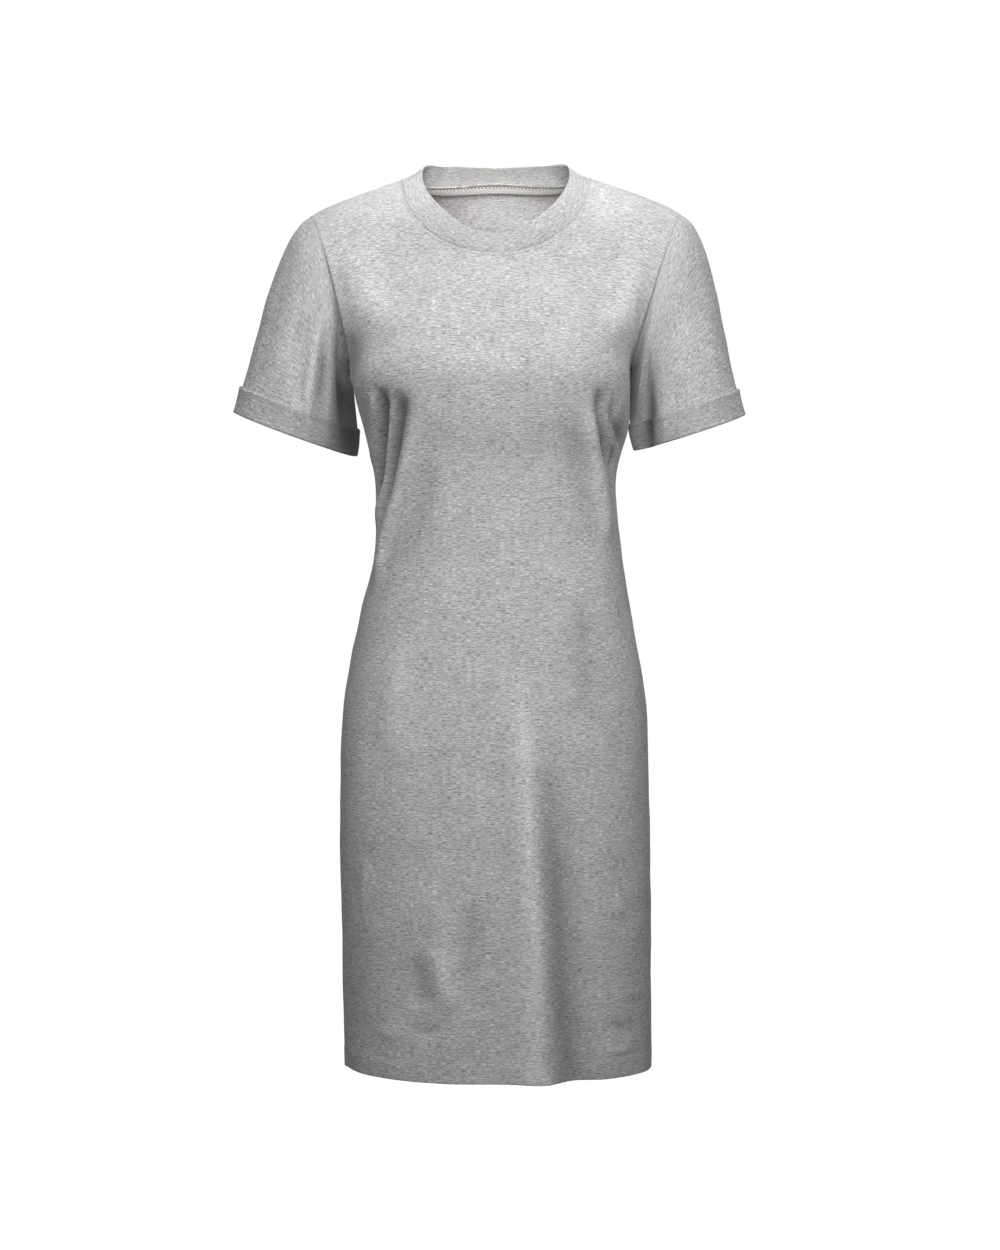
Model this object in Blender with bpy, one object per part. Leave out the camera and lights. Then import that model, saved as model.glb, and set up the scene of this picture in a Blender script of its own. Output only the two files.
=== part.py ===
"""T-shirt dress in heather grey jersey, filled out with no wearer in it.

Eight closed cloth solids: front, back, two sleeves, two turn-up cuffs, the neckband and the
tape over the back neck seam. The origin is midway between the two neck points, where the
shoulder seams meet the neckband. +X is the wearer's left, the front faces -Y and +Z is up.
Every panel is a loft between unlike sections: rows of points worked out from the tables below,
one row above the other, with a second layer a cloth's thickness inside.
"""

import math

import bpy
import numpy as np

MM = 0.001

# Cloth thicknesses, and the gap between two pieces at a seam.
JERSEY = 1.5 * MM
FOLDED_JERSEY = 2.2 * MM
TAPE = 1.0 * MM
GAP = 0.3 * MM

# Levels, and the sizes of the small pieces.
HEM_Z = -921 * MM
UNDERARM_Z = -213 * MM
SHOULDER_POINT_Z = -42 * MM
HEM_DIP = 6 * MM
HEM_DIP_REACH = 0.1
SHOULDER_LEAN = 1.5 * MM
SHOULDER_HALF_WIDTH = 195 * MM
CUFF_HEIGHT = 28 * MM
CUFF_OVERHANG = 2 * MM
TAPE_WIDTH = 10.5 * MM

# The neck opening: where its seam meets the shoulder, the centre front and the centre back.
NECK_HALF_WIDTH = 97 * MM
NECK_FRONT_Z = -88 * MM
NECK_BACK_Y = 66 * MM

# How many strips each piece has.
SKIRT_ROWS = 17
YOKE_ROWS = 12
HALF_COLUMNS = 13
NECK_COLUMNS = 9
SLEEVE_ROWS = 8
CUFF_ROWS = 2
BAND_ROWS = 3
ROW_SAMPLES = 61

# How late the yoke's columns draw together towards the neck, and where the folds and the bust
# fade out before the armhole seam: above this level, by this power of the share across.
COLUMN_BLEND = 1.5
SEAM_FADE_LEVEL = 0.95
SEAM_FADE_POWER = 8

# At a seam the wall leans away from the piece's own normal; it is lengthened for the lean, but
# never for a steeper one than this cosine.
LEAST_SLANT = 0.6

# Sections are superellipses of this power; 2 would be an ellipse.
SQUARENESS = 2.2

FRONT, BACK = -1, 1
RIGHT, LEFT = -1, 1


class Table:
    """A short table with named columns, read anywhere on a smooth curve through its rows."""

    def __init__(self, columns, rows, level_ends=False):
        self.values = dict(zip(columns, np.array(rows, dtype=float).T))
        self.stations = self.values[columns[0]]
        self.level_ends = level_ends

    def read(self, column, station):
        """Return the column's value at a station between the first row and the last."""
        values = self.values[column]
        slopes = np.gradient(values, self.stations)
        if self.level_ends:
            slopes[[0, -1]] = 0
        low = np.clip(np.searchsorted(self.stations, station) - 1, 0, len(values) - 2)
        span = self.stations[low + 1] - self.stations[low]
        part = np.clip((station - self.stations[low]) / span, 0, 1)
        rest = 1 - part
        return (values[low] * (1 + 2 * part) * rest ** 2 + slopes[low] * span * part * rest ** 2
                + values[low + 1] * part ** 2 * (3 - 2 * part)
                - slopes[low + 1] * span * part ** 2 * rest)


# Level sections of the body in millimetres, from the hem up to the underarm. Half widths are
# taken at the widest line, whose depth is "widest"; "front" and "back" are the centre lines,
# and the seam columns are the depths of the two side seams.
BODY = Table(
    ("height", "half_right", "half_left", "widest", "front", "back", "seam_right", "seam_left"),
    ((-921, 157, 162, 0, -112, 112, -34, 6),
     (-780, 160, 161, 0, -112, 116, -30, 6),
     (-640, 162, 159, 0, -107, 125, -18, 4),
     (-540, 157, 155, 0, -101, 116, -6, 4),
     (-450, 139, 139, -4, -96, 98, 0, 4),
     (-390, 125, 130, -8, -93, 89, 2, 4),
     (-345, 125, 125, -14, -94, 87, 4, 5),
     (-300, 126, 125, -22, -101, 90, 6, 6),
     (-260, 134, 134, -32, -113, 93, 8, 8),
     (-213, 151, 138, -38, -123, 95, 8, 8)))

# Rows above the underarm, from it (0) to the shoulder line (1), in millimetres. "edge" is on
# the armhole, "centre" on the centre line, and "turn" is how far round its arc the edge is:
# 0 at the widest line, 1 at the centre line.
YOKE_COLUMNS = ("share", "edge_right", "edge_left", "edge_depth", "centre_depth", "turn")
YOKE_ROWS_OF = {
    FRONT: ((0.12, 149, 137, -11, -116, -0.31),
            (0.25, 152, 142, -34, -106, 0.0),
            (0.50, 164, 160, -50, -60, 0.45),
            (0.75, 181, 180, -32, -26, 0.50),
            (1.00, 195, 195, 5, 5, 0.55)),
    BACK: ((0.12, 146, 135, 27, 98, 0.42),
           (0.25, 152, 144, 46, 99, 0.50),
           (0.50, 168, 164, 62, 92, 0.60),
           (0.75, 184, 183, 44, 71, 0.60),
           (1.00, 195, 195, 5, 5, 0.60)),
}

# The shoulder line: the height of its virtual crown over the neck opening, how sharply it
# peaks there, and how much it drops off over the shoulder point.
CROWN_Z = 21 * MM
CROWN_ROUNDING = 0.2
POINT_DROP = 6 * MM
POINT_DROP_POWER = 12

# Soft shapes on the body in millimetres. A fold runs from its top to its bottom height; its
# place round the body is 0 at the centre front, 0.5 at the side seam and 1 at the centre back,
# and negative on the wearer's right. Lift is outward.
FOLD_COLUMNS = ("top", "bottom", "around_top", "around_middle", "around_bottom", "width", "lift")
FOLDS = (
    (-470, -925, 0.03, 0.09, 0.11, 22, 7),
    (-520, -925, 0.12, 0.17, 0.19, 20, -5),
    (-700, -925, -0.20, -0.15, -0.11, 22, 3),
    (-205, -330, -0.40, -0.42, -0.45, 12, 4),
    (-215, -400, -0.30, -0.35, -0.40, 15, -4),
    (-215, -390, 0.32, 0.37, 0.42, 14, -4),
    (-210, -330, 0.40, 0.43, 0.46, 11, 4),
    (-430, -925, 0.80, 0.84, 0.86, 26, 5),
    (-480, -925, -0.90, -0.86, -0.83, 24, 5),
    (-520, -925, 0.97, 0.98, 0.99, 26, -4),
)
BUST_AROUND = 0.215
BUST_Z = -192 * MM
BUST_SPREAD = 48 * MM
BUST_LIFT = 9 * MM
HALF_GIRTH = 420 * MM

# The neckband's free edge, by the angle round the neck from the centre front.
BAND_EDGE = Table(
    ("angle", "height"),
    ((0, -68), (20, -62), (45, -40), (75, -10), (90, 4), (105, 13), (135, 16.5), (180, 16.5)),
    level_ends=True)
BAND_EDGE_HALF_WIDTH = 77.5 * MM
BAND_EDGE_CENTRE_Y = 12 * MM
BAND_EDGE_FRONT = 72 * MM
BAND_EDGE_BACK = 47 * MM
BAND_CROWN = 1.2 * MM

# The two sleeve ends in millimetres: centre, half the width across and half the depth from
# front to back, and the two tilts of the cuff in degrees.
SLEEVES = {
    LEFT: {"across": 201.5, "height": -267, "half_width": 58.5, "half_depth": 46,
           "side_tilt": 18, "front_tilt": 6},
    RIGHT: {"across": 208.5, "height": -269, "half_width": 66, "half_depth": 47,
            "side_tilt": 20, "front_tilt": 6},
}

# How the sleeve's cloth leaves the armhole: its tilt, how much of it turns sideways and forward
# at the shoulder, and how far it keeps that direction; then the same at the sleeve's end.
START_TILT = 24
HEAD_SIDEWAYS = 0.60
HEAD_FORWARD = 0.30
HEAD_REACH = 0.17
SLEEVE_TILT = 16
END_REACH = 0.40

HEATHER_GREY = (0.42, 0.41, 0.41, 1.0)
TAPE_GREY = (0.62, 0.61, 0.58, 1.0)


def unit(vectors):
    """Scale each vector to length one."""
    length = np.linalg.norm(vectors, axis=-1, keepdims=True)
    return vectors / np.maximum(length, 1e-12)


def edge_angle(turn, depth, other_depth):
    """Angle on the section's arc where the edge lies; below zero it is past the widest line."""
    if turn >= 0:
        return math.asin(turn ** (SQUARENESS / 2))
    return -math.asin((-turn * depth / other_depth) ** (SQUARENESS / 2))


def skirt_section(face, hand, height):
    """Half width, widest depth, centre depth, other centre depth and edge angle of one section.

    Args: face FRONT or BACK, hand RIGHT or LEFT, height of the section in millimetres.
    """
    widest = BODY.read("widest", height)
    centre = BODY.read("front" if face == FRONT else "back", height)
    other = BODY.read("back" if face == FRONT else "front", height)
    seam = BODY.read("seam_right" if hand == RIGHT else "seam_left", height)
    half = BODY.read("half_right" if hand == RIGHT else "half_left", height)
    turn = (seam - widest) / (centre - widest)
    angle = edge_angle(turn, abs(centre - widest), abs(other - widest))
    return half, widest, centre, other, angle, seam, turn


def yoke_table(face):
    """The yoke's rows for one face, with the underarm section as its first row."""
    level = UNDERARM_Z / MM
    edges = {}
    for hand in (RIGHT, LEFT):
        half, _, centre, _, angle, seam, turn = skirt_section(face, hand, level)
        edges[hand] = half * math.cos(angle) ** (2 / SQUARENESS)
    first = (0.0, edges[RIGHT], edges[LEFT], seam, centre, turn)
    return Table(YOKE_COLUMNS, (first,) + YOKE_ROWS_OF[face])


YOKE = {FRONT: yoke_table(FRONT), BACK: yoke_table(BACK)}


def yoke_section(face, hand, share):
    """The same values as skirt_section, for a row above the underarm."""
    table = YOKE[face]
    edge = table.read("edge_right" if hand == RIGHT else "edge_left", share)
    edge_depth = table.read("edge_depth", share)
    centre = table.read("centre_depth", share)
    turn = table.read("turn", share)
    widest = (edge_depth - turn * centre) / (1 - turn)
    other = BODY.read("back" if face == FRONT else "front", UNDERARM_Z / MM)
    angle = edge_angle(turn, abs(centre - widest), abs(other - widest))
    return edge / math.cos(angle) ** (2 / SQUARENESS), widest, centre, other, angle


def half_row(face, hand, level):
    """One row of a panel from the centre line to its edge, as shares of the way and points.

    Args: face FRONT or BACK, hand RIGHT or LEFT, level from 0 at the hem through 1 at the
    underarm to 2 at the shoulder line.
    """
    share = max(level - 1, 0)
    if level <= 1:
        height = HEM_Z + (UNDERARM_Z - HEM_Z) * level
        half, widest, centre, other, angle = skirt_section(face, hand, height / MM)[:5]
    else:
        height = UNDERARM_Z + (SHOULDER_POINT_Z - UNDERARM_Z) * (1 - math.cos(math.pi * share)) / 2
        half, widest, centre, other, angle = yoke_section(face, hand, share)
    angles = np.linspace(math.pi / 2, angle, ROW_SAMPLES)
    across = half * np.clip(np.cos(angles), 0, 1) ** (2 / SQUARENESS)
    reach = np.abs(np.sin(angles)) ** (2 / SQUARENESS)
    depth = widest + np.where(angles > 0, centre - widest, other - widest) * reach
    steps = np.hypot(np.diff(across), np.diff(depth))
    way = np.concatenate(([0], np.cumsum(steps)))
    way /= way[-1]
    if level <= 1:
        fade = max(1 - level / HEM_DIP_REACH, 0) ** 2
        rows_z = height - HEM_DIP * fade * (1 - way ** 3)
    else:
        centre_z = UNDERARM_Z + (CROWN_Z - UNDERARM_Z) * share * (1 + share - share ** 2)
        drop = POINT_DROP * share ** 4
        top = math.hypot(1, CROWN_ROUNDING)
        peak = (top - np.hypot(way, CROWN_ROUNDING)) / (top - CROWN_ROUNDING)
        rise = centre_z - height - drop
        rows_z = height + drop + rise * peak - drop * way ** POINT_DROP_POWER
    points = np.stack((hand * across * MM, depth * MM, rows_z), axis=1)
    return way, points


def body_point(face, across, level):
    """The point at a signed share across the row (-1 to 1) at a level."""
    way, points = half_row(face, LEFT if across >= 0 else RIGHT, level)
    return np.array([np.interp(abs(across), way, points[:, axis]) for axis in range(3)])


def leaned(points):
    """Raise the wearer's left shoulder a little and lower the right one."""
    ramp = np.clip((points[..., 2] - UNDERARM_Z) / (-UNDERARM_Z), 0, 1) ** 2
    lifted = points.copy()
    lifted[..., 2] += SHOULDER_LEAN * ramp * points[..., 0] / SHOULDER_HALF_WIDTH
    return lifted


def neck_station(face, swing):
    """Share across the row and level of a point of the neck seam.

    Args: face FRONT or BACK, swing the angle from the neck point (0) to the centre (pi / 2).
    """
    way, points = half_row(face, LEFT, 2.0)
    neck_share = np.interp(NECK_HALF_WIDTH, points[:, 0], way)
    if swing <= 0:
        return neck_share, 2.0
    axis = 2 if face == FRONT else 1
    start = np.interp(neck_share, way, points[:, axis])
    goal = NECK_FRONT_Z if face == FRONT else NECK_BACK_Y
    target = start + (goal - start) * math.sin(swing)
    low, high = 1.25, 2.0
    for _ in range(40):
        level = (low + high) / 2
        way, points = half_row(face, LEFT, level)
        share = np.interp(NECK_HALF_WIDTH * math.cos(swing), points[:, 0], way)
        value = np.interp(share, way, points[:, axis])
        if (value < target) == (face == FRONT):
            low = level
        else:
            high = level
    return share, level


def panel_stations(face):
    """Where each column of a panel ends at the top: its signed share across and its level."""
    neck_share = neck_station(face, 0)[0]
    stations = []
    for column in range(-HALF_COLUMNS, HALF_COLUMNS + 1):
        hand = 1 if column >= 0 else -1
        if abs(column) >= NECK_COLUMNS:
            part = (abs(column) - NECK_COLUMNS) / (HALF_COLUMNS - NECK_COLUMNS)
            stations.append((hand * (neck_share + (1 - neck_share) * part), 2.0))
        else:
            share, level = neck_station(face, math.pi / 2 * (1 - abs(column) / NECK_COLUMNS))
            stations.append((hand * share, level))
    return stations


def shape_lift(around, height):
    """Outward shift of the cloth at a place round the body and a height."""
    bust_away = math.hypot((abs(around) - BUST_AROUND) * HALF_GIRTH, height - BUST_Z)
    total = BUST_LIFT * math.exp(-(bust_away / BUST_SPREAD) ** 2)
    for row in FOLDS:
        fold = dict(zip(FOLD_COLUMNS, row))
        part = (fold["top"] * MM - height) / ((fold["top"] - fold["bottom"]) * MM)
        if not 0 < part <= 1.2:
            continue
        bend = fold["around_middle"] - (fold["around_top"] + fold["around_bottom"]) / 2
        place = (fold["around_top"] + (fold["around_bottom"] - fold["around_top"]) * part
                 + 4 * bend * part * (1 - part))
        away = ((around - place + 1) % 2 - 1) * HALF_GIRTH
        runs_to_hem = fold["bottom"] * MM < HEM_Z
        ends = math.sin(math.pi * min(part, 0.5 if runs_to_hem else 1.0)) ** 2
        total += fold["lift"] * MM * ends * math.exp(-(away / (fold["width"] * MM)) ** 2)
    return total


def yoke_parts(face, column, top_share, top_level):
    """How far up its column each yoke row lies, from the underarm (0) to the top edge (1).

    The back's top strip is as wide as the tape where the tape lies on it.
    """
    parts = np.linspace(0, 1, YOKE_ROWS + 1)
    if face == BACK:
        path = np.array([body_point(face, *yoke_place(column, top_share, top_level, part))
                         for part in parts])
        reach = np.linalg.norm(np.diff(path, axis=0), axis=1).sum()
        beyond = max(abs(column) * HALF_COLUMNS - NECK_COLUMNS, 0)
        blend = beyond / (HALF_COLUMNS - NECK_COLUMNS)
        parts[-2] = (1 - TAPE_WIDTH / reach) * (1 - blend) + parts[-2] * blend
    return parts


def yoke_place(column, top_share, top_level, part):
    """Share across the row and level of a place part of the way up a column of the yoke."""
    return column + (top_share - column) * part ** COLUMN_BLEND, 1 + (top_level - 1) * part


def panel(face):
    """Grid of a body panel, and how far each point is lifted by the soft shapes.

    Rows run up from the hem, and columns run so that the outside faces out.
    """
    stations = panel_stations(face)[::-face]
    columns = np.linspace(face, -face, 2 * HALF_COLUMNS + 1)
    grid = np.zeros((SKIRT_ROWS + YOKE_ROWS + 1, len(columns), 3))
    lift = np.zeros(grid.shape[:2])
    for index, (column, (top_share, top_level)) in enumerate(zip(columns, stations)):
        places = [(column, row / SKIRT_ROWS) for row in range(SKIRT_ROWS)]
        places += [yoke_place(column, top_share, top_level, part)
                   for part in yoke_parts(face, column, top_share, top_level)]
        for row, (share, level) in enumerate(places):
            point = body_point(face, share, level)
            grid[row, index] = point
            around = share / 2 if face == FRONT else math.copysign(1 - abs(share) / 2, share)
            # Nothing is lifted at the seams above the underarm, where the sleeve joins.
            fade = 1 - abs(share) ** SEAM_FADE_POWER if level > SEAM_FADE_LEVEL else 1
            lift[row, index] = shape_lift(around, point[2]) * fade
    return grid, lift


def armhole(front, back, hand):
    """Loop of armhole points from the shoulder point by the front (hand LEFT) and back round."""
    front_edge = front[SKIRT_ROWS:, -1 if hand == LEFT else 0]
    back_edge = back[SKIRT_ROWS:, 0 if hand == LEFT else -1]
    loop = np.concatenate((front_edge[::-1], back_edge[1:-1]))
    if hand == RIGHT:
        loop = np.concatenate((loop[:1], loop[:0:-1]))
    return loop


def sleeve_surface(loop, hand, shares):
    """Grid of a sleeve along the shares of its length: rows outward, columns round the arm.

    Each share is one number for the whole row, or a number for each of its columns.
    """
    size = SLEEVES[hand]
    side = math.radians(size["side_tilt"])
    fore = math.radians(size["front_tilt"])
    centre = np.array((hand * size["across"], 0, size["height"])) * MM
    outward = np.array((hand * math.cos(side), 0, math.sin(side)))
    forward = np.array((0, -math.cos(fore), -math.sin(fore)))
    angles = np.arange(len(loop)) * 2 * math.pi / len(loop) * hand
    ring = (centre + size["half_width"] * MM * np.cos(angles)[:, None] * outward
            + size["half_depth"] * MM * np.sin(angles)[:, None] * forward)
    down, off = (np.array((hand * math.sin(tilt), 0, -math.cos(tilt)))
                 for tilt in (math.radians(SLEEVE_TILT), math.radians(START_TILT)))
    # Cloth leaves the armhole sideways at the shoulder and downwards at the underarm.
    sideways = (HEAD_SIDEWAYS * (1 + np.cos(angles)) / 2)[:, None]
    start = unit(sideways * np.array((hand, 0, 0)) + (1 - sideways) * off
                 + HEAD_FORWARD * np.sin(angles)[:, None] * np.array((0, -1, 0)) * sideways)
    length = np.linalg.norm(ring - loop, axis=1)[:, None]
    near = loop + start * length * HEAD_REACH
    far = ring - down * length * END_REACH
    rows = []
    for share in shares:
        share = np.reshape(share, (-1, 1))
        rest = 1 - share
        rows.append(rest ** 3 * loop + 3 * rest ** 2 * share * near
                    + 3 * rest * share ** 2 * far + share ** 3 * ring)
    return np.array(rows)


def shares_at(loop, hand, heights):
    """Shares of a sleeve's length at heights over its lower edge, column by column."""
    shares = np.linspace(0, 1, 81)
    steps = np.linalg.norm(np.diff(sleeve_surface(loop, hand, shares), axis=0), axis=2)
    over = np.vstack((np.cumsum(steps[::-1], axis=0)[::-1], np.zeros(len(loop))))
    return np.array([[np.interp(height, line[::-1], shares[::-1]) for line in over.T]
                     for height in heights])


def band_surface(front, back):
    """Grid of the neckband: rows from its seam up to its free edge, columns round the neck."""
    low = HALF_COLUMNS - NECK_COLUMNS
    high = HALF_COLUMNS + NECK_COLUMNS
    seam = np.concatenate((front[-1, low:high + 1], back[-1, low + 1:high]))
    count = len(seam)
    angles = np.linspace(-90, 270, count + 1)[:-1]
    turned = np.abs((angles + 180) % 360 - 180)
    swing = np.radians(angles)
    reach = np.where(turned < 90, BAND_EDGE_FRONT, BAND_EDGE_BACK)
    edge = np.stack((BAND_EDGE_HALF_WIDTH * np.sin(swing),
                     BAND_EDGE_CENTRE_Y - reach * np.cos(swing),
                     BAND_EDGE.read("height", turned) * MM), axis=1)
    edge = leaned(edge)
    outward = unit(edge * np.array((1, 1, 0)) - np.array((0, BAND_EDGE_CENTRE_Y, 0)))
    rows = []
    for row in range(BAND_ROWS + 1):
        part = row / BAND_ROWS
        bulge = BAND_CROWN * math.sin(math.pi * part)
        rows.append(seam + (edge - seam) * part + outward * bulge)
    return np.array(rows)


def grid_normals(grid, closed):
    """Outward unit normals of a grid whose columns may close into a ring."""
    if closed:
        wide = np.concatenate((grid[:, -1:], grid, grid[:, :1]), axis=1)
        along = ((wide[:, 2:] - wide[:, :-2]) / 2)
    else:
        along = np.gradient(grid, axis=1)
    up = np.gradient(grid, axis=0)
    return unit(np.cross(along, up))


def seam_lines():
    """Every seam as a list of stations, each with its places on the near and on the far side.

    A place is a piece's name with a row and a column of its grid. The armholes and the neck
    seam are closed rings, and the side and shoulder seams are open lines.
    """
    last = 2 * HALF_COLUMNS
    top = SKIRT_ROWS + YOKE_ROWS
    neck = range(HALF_COLUMNS - NECK_COLUMNS, HALF_COLUMNS + NECK_COLUMNS + 1)
    open_lines = []
    rings = []
    for front_edge, back_edge, name in ((last, 0, "sleeve_left"), (0, last, "sleeve_right")):
        open_lines.append([([("front", row, front_edge)], [("back", row, back_edge)])
                           for row in range(SKIRT_ROWS + 1)])
        shoulder = range(neck[-1], last + 1) if front_edge else range(0, neck[0] + 1)
        open_lines.append([([("front", top, column)], [("back", top, last - column)])
                           for column in shoulder])
        rows = list(range(top, SKIRT_ROWS - 1, -1))
        ring = [[("front", row, front_edge)] for row in rows]
        ring += [[("back", row, back_edge)] for row in rows[-2:0:-1]]
        ring[0].append(("back", top, back_edge))
        ring[YOKE_ROWS].append(("back", SKIRT_ROWS, back_edge))
        if name == "sleeve_right":
            ring = ring[:1] + ring[:0:-1]
        rings.append([(places, [(name, 0, index)]) for index, places in enumerate(ring)])
    ring = [[("front", top, column)] for column in neck]
    ring += [[("back", top, column)] for column in neck[1:-1]]
    ring[0].append(("back", top, neck[-1]))
    ring[len(neck) - 1].append(("back", top, neck[0]))
    rings.append([(places, [("neckband", 0, index)]) for index, places in enumerate(ring)])
    return open_lines, rings


def share_seams(grids, normals, lines, closed, shifts=None):
    """Give both sides of each seam one wall direction, and draw them apart by the seam gap.

    Args: grids, normals and shifts hold an array of points, unit normals and moves for each
    piece. Without shifts only the wall directions are shared.
    """
    for line in lines:
        middle = np.array([grids[near[0][0]][near[0][1:]] for near, _ in line])
        sides = [np.array([unit(sum(normals[name][row, column] for name, row, column in side))
                           for side in ends]) for ends in zip(*line)]
        if closed:
            along = unit(np.roll(middle, -1, axis=0) - np.roll(middle, 1, axis=0))
        else:
            along = unit(np.gradient(middle, axis=0))
        walls = sides[0] + sides[1]
        walls = unit(walls - np.sum(walls * along, axis=1, keepdims=True) * along)
        apart = np.cross(walls, along) * GAP / 2
        across = np.array([neighbour(grids, far[0]) - neighbour(grids, near[0])
                           for near, far in line])
        apart *= np.sign(np.sum(apart * across))
        for (near, far), wall, move in zip(line, walls, apart):
            for places, sign in ((near, -1), (far, 1)):
                for name, row, column in places:
                    normals[name][row, column] = wall
                    if shifts is not None:
                        shifts[name][row, column] += move * sign


def neighbour(grids, place):
    """The grid's point next to a seam place, on the inside of its piece."""
    name, row, column = place
    rows, columns = grids[name].shape[:2]
    if name in ("front", "back"):
        if row == rows - 1:
            return grids[name][row - 1, column]
        return grids[name][row, 1 if column == 0 else columns - 2]
    return grids[name][1, column]


def cloth(name, outer, inner, closed, colour, roughness):
    """Make one closed solid between two layers of points, outer layer outside."""
    rows, columns = outer.shape[:2]
    points = np.concatenate((outer.reshape(-1, 3), inner.reshape(-1, 3)))
    layer = rows * columns

    def at(row, column, inside):
        return row * columns + column % columns + (layer if inside else 0)

    def wall(near, far):
        """Close the wall between two neighbouring edge points, split from the lower one."""
        first, second = at(*near, False), at(*far, False)
        third, fourth = at(*far, True), at(*near, True)
        if points[first][2] <= points[second][2]:
            faces.extend(((first, second, third), (first, third, fourth)))
        else:
            faces.extend(((second, third, fourth), (second, fourth, first)))

    faces = []
    spans = columns if closed else columns - 1
    for row in range(rows - 1):
        for column in range(spans):
            corners = ((row, column), (row, column + 1), (row + 1, column + 1), (row + 1, column))
            for one, two, three in ((0, 1, 2), (0, 2, 3)):
                faces.append([at(*corners[index], False) for index in (one, two, three)])
                faces.append([at(*corners[index], True) for index in (three, two, one)])
    for column in range(spans):
        wall((0, column + 1), (0, column))
        wall((rows - 1, column), (rows - 1, column + 1))
    if not closed:
        for row in range(rows - 1):
            wall((row, 0), (row + 1, 0))
            wall((row + 1, columns - 1), (row, columns - 1))
    mesh = bpy.data.meshes.new(name)
    mesh.from_pydata([tuple(point) for point in points], [], faces)
    mesh.validate()
    mesh.shade_smooth()
    mesh.set_sharp_from_angle(angle=math.radians(50))
    material = bpy.data.materials.new(name)
    material.use_nodes = True
    shader = material.node_tree.nodes["Principled BSDF"]
    shader.inputs["Base Color"].default_value = colour
    shader.inputs["Roughness"].default_value = roughness
    shader.inputs["Metallic"].default_value = 0.0
    mesh.materials.append(material)
    part = bpy.data.objects.new(name, mesh)
    bpy.data.collections["tshirt_dress"].objects.link(part)


def body_panels():
    """The grids of the front and the back, with their shared seam points made equal."""
    front, front_lift = panel(FRONT)
    back, back_lift = panel(BACK)
    open_lines, _ = seam_lines()
    for line in open_lines:
        for near, far in line:
            back[far[0][1:]] = front[near[0][1:]]
            back_lift[far[0][1:]] = front_lift[near[0][1:]]
    grids = {"front": leaned(front), "back": leaned(back)}
    normals = {name: grid_normals(grid, False) for name, grid in grids.items()}
    share_seams(grids, normals, open_lines, False)
    return {"front": grids["front"] + normals["front"] * front_lift[..., None],
            "back": grids["back"] + normals["back"] * back_lift[..., None]}


def build():
    """Make the eight pieces."""
    grids = body_panels()
    cuffs = {}
    for hand, side in ((LEFT, "left"), (RIGHT, "right")):
        loop = armhole(grids["front"], grids["back"], hand)
        cuff_top, sleeve_end, edge = shares_at(loop, hand, (CUFF_HEIGHT, CUFF_OVERHANG, 0))
        upper = np.linspace(0 * cuff_top, cuff_top, SLEEVE_ROWS - CUFF_ROWS + 1)
        under_cuff = np.linspace(cuff_top, sleeve_end, CUFF_ROWS + 1)
        sleeve_rows = np.concatenate((upper, under_cuff[1:]))
        grids["sleeve_" + side] = sleeve_surface(loop, hand, sleeve_rows)
        cuff_rows = np.concatenate((under_cuff, edge[None, :]))
        cuffs["cuff_" + side] = sleeve_surface(loop, hand, cuff_rows)
    grids["neckband"] = band_surface(grids["front"], grids["back"])

    closed = {name: name not in ("front", "back") for name in grids}
    own = {name: grid_normals(grid, closed[name]) for name, grid in grids.items()}
    normals = {name: normal.copy() for name, normal in own.items()}
    shifts = {name: np.zeros_like(grid) for name, grid in grids.items()}
    open_lines, rings = seam_lines()
    share_seams(grids, normals, open_lines, False, shifts)
    share_seams(grids, normals, rings, True, shifts)

    layers = {}
    for name, grid in grids.items():
        outer = grid + shifts[name]
        thickness = FOLDED_JERSEY if name == "neckband" else JERSEY
        slant = np.maximum(np.sum(own[name] * normals[name], axis=2, keepdims=True), LEAST_SLANT)
        layers[name] = (outer, outer - normals[name] * thickness / slant)
        cloth(name, *layers[name], closed[name], HEATHER_GREY, 0.9)
    for name, grid in cuffs.items():
        out = grid_normals(grid, True)
        cloth(name, grid + out * (GAP + FOLDED_JERSEY), grid + out * GAP, True,
              HEATHER_GREY, 0.9)

    # The tape lies on the inside of the back's top strip, from shoulder seam to shoulder seam.
    width = slice(HALF_COLUMNS - NECK_COLUMNS, HALF_COLUMNS + NECK_COLUMNS + 1)
    backing = layers["back"][1][-2:, width]
    inward = -normals["back"][-2:, width]
    cloth("neck_tape", backing + inward * GAP, backing + inward * (GAP + TAPE), False,
          TAPE_GREY, 0.85)


def clear_scene():
    """Remove what the scene holds, and open the dress's collection."""
    for thing in list(bpy.data.objects):
        bpy.data.objects.remove(thing, do_unlink=True)
    group = bpy.data.collections.new("tshirt_dress")
    bpy.context.scene.collection.children.link(group)


clear_scene()
build()
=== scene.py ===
"""T-shirt dress in heather grey jersey, filled out with no wearer in it.

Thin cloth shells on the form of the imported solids, with their folds, seams, turned edges and
stitches. +X is the wearer's left, the front faces -Y, +Z is up, and the origin is midway
between the two neck points.
"""

import logging
import math
from dataclasses import dataclass, field
from enum import Enum

import bpy
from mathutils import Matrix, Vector
import numpy as np


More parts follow.
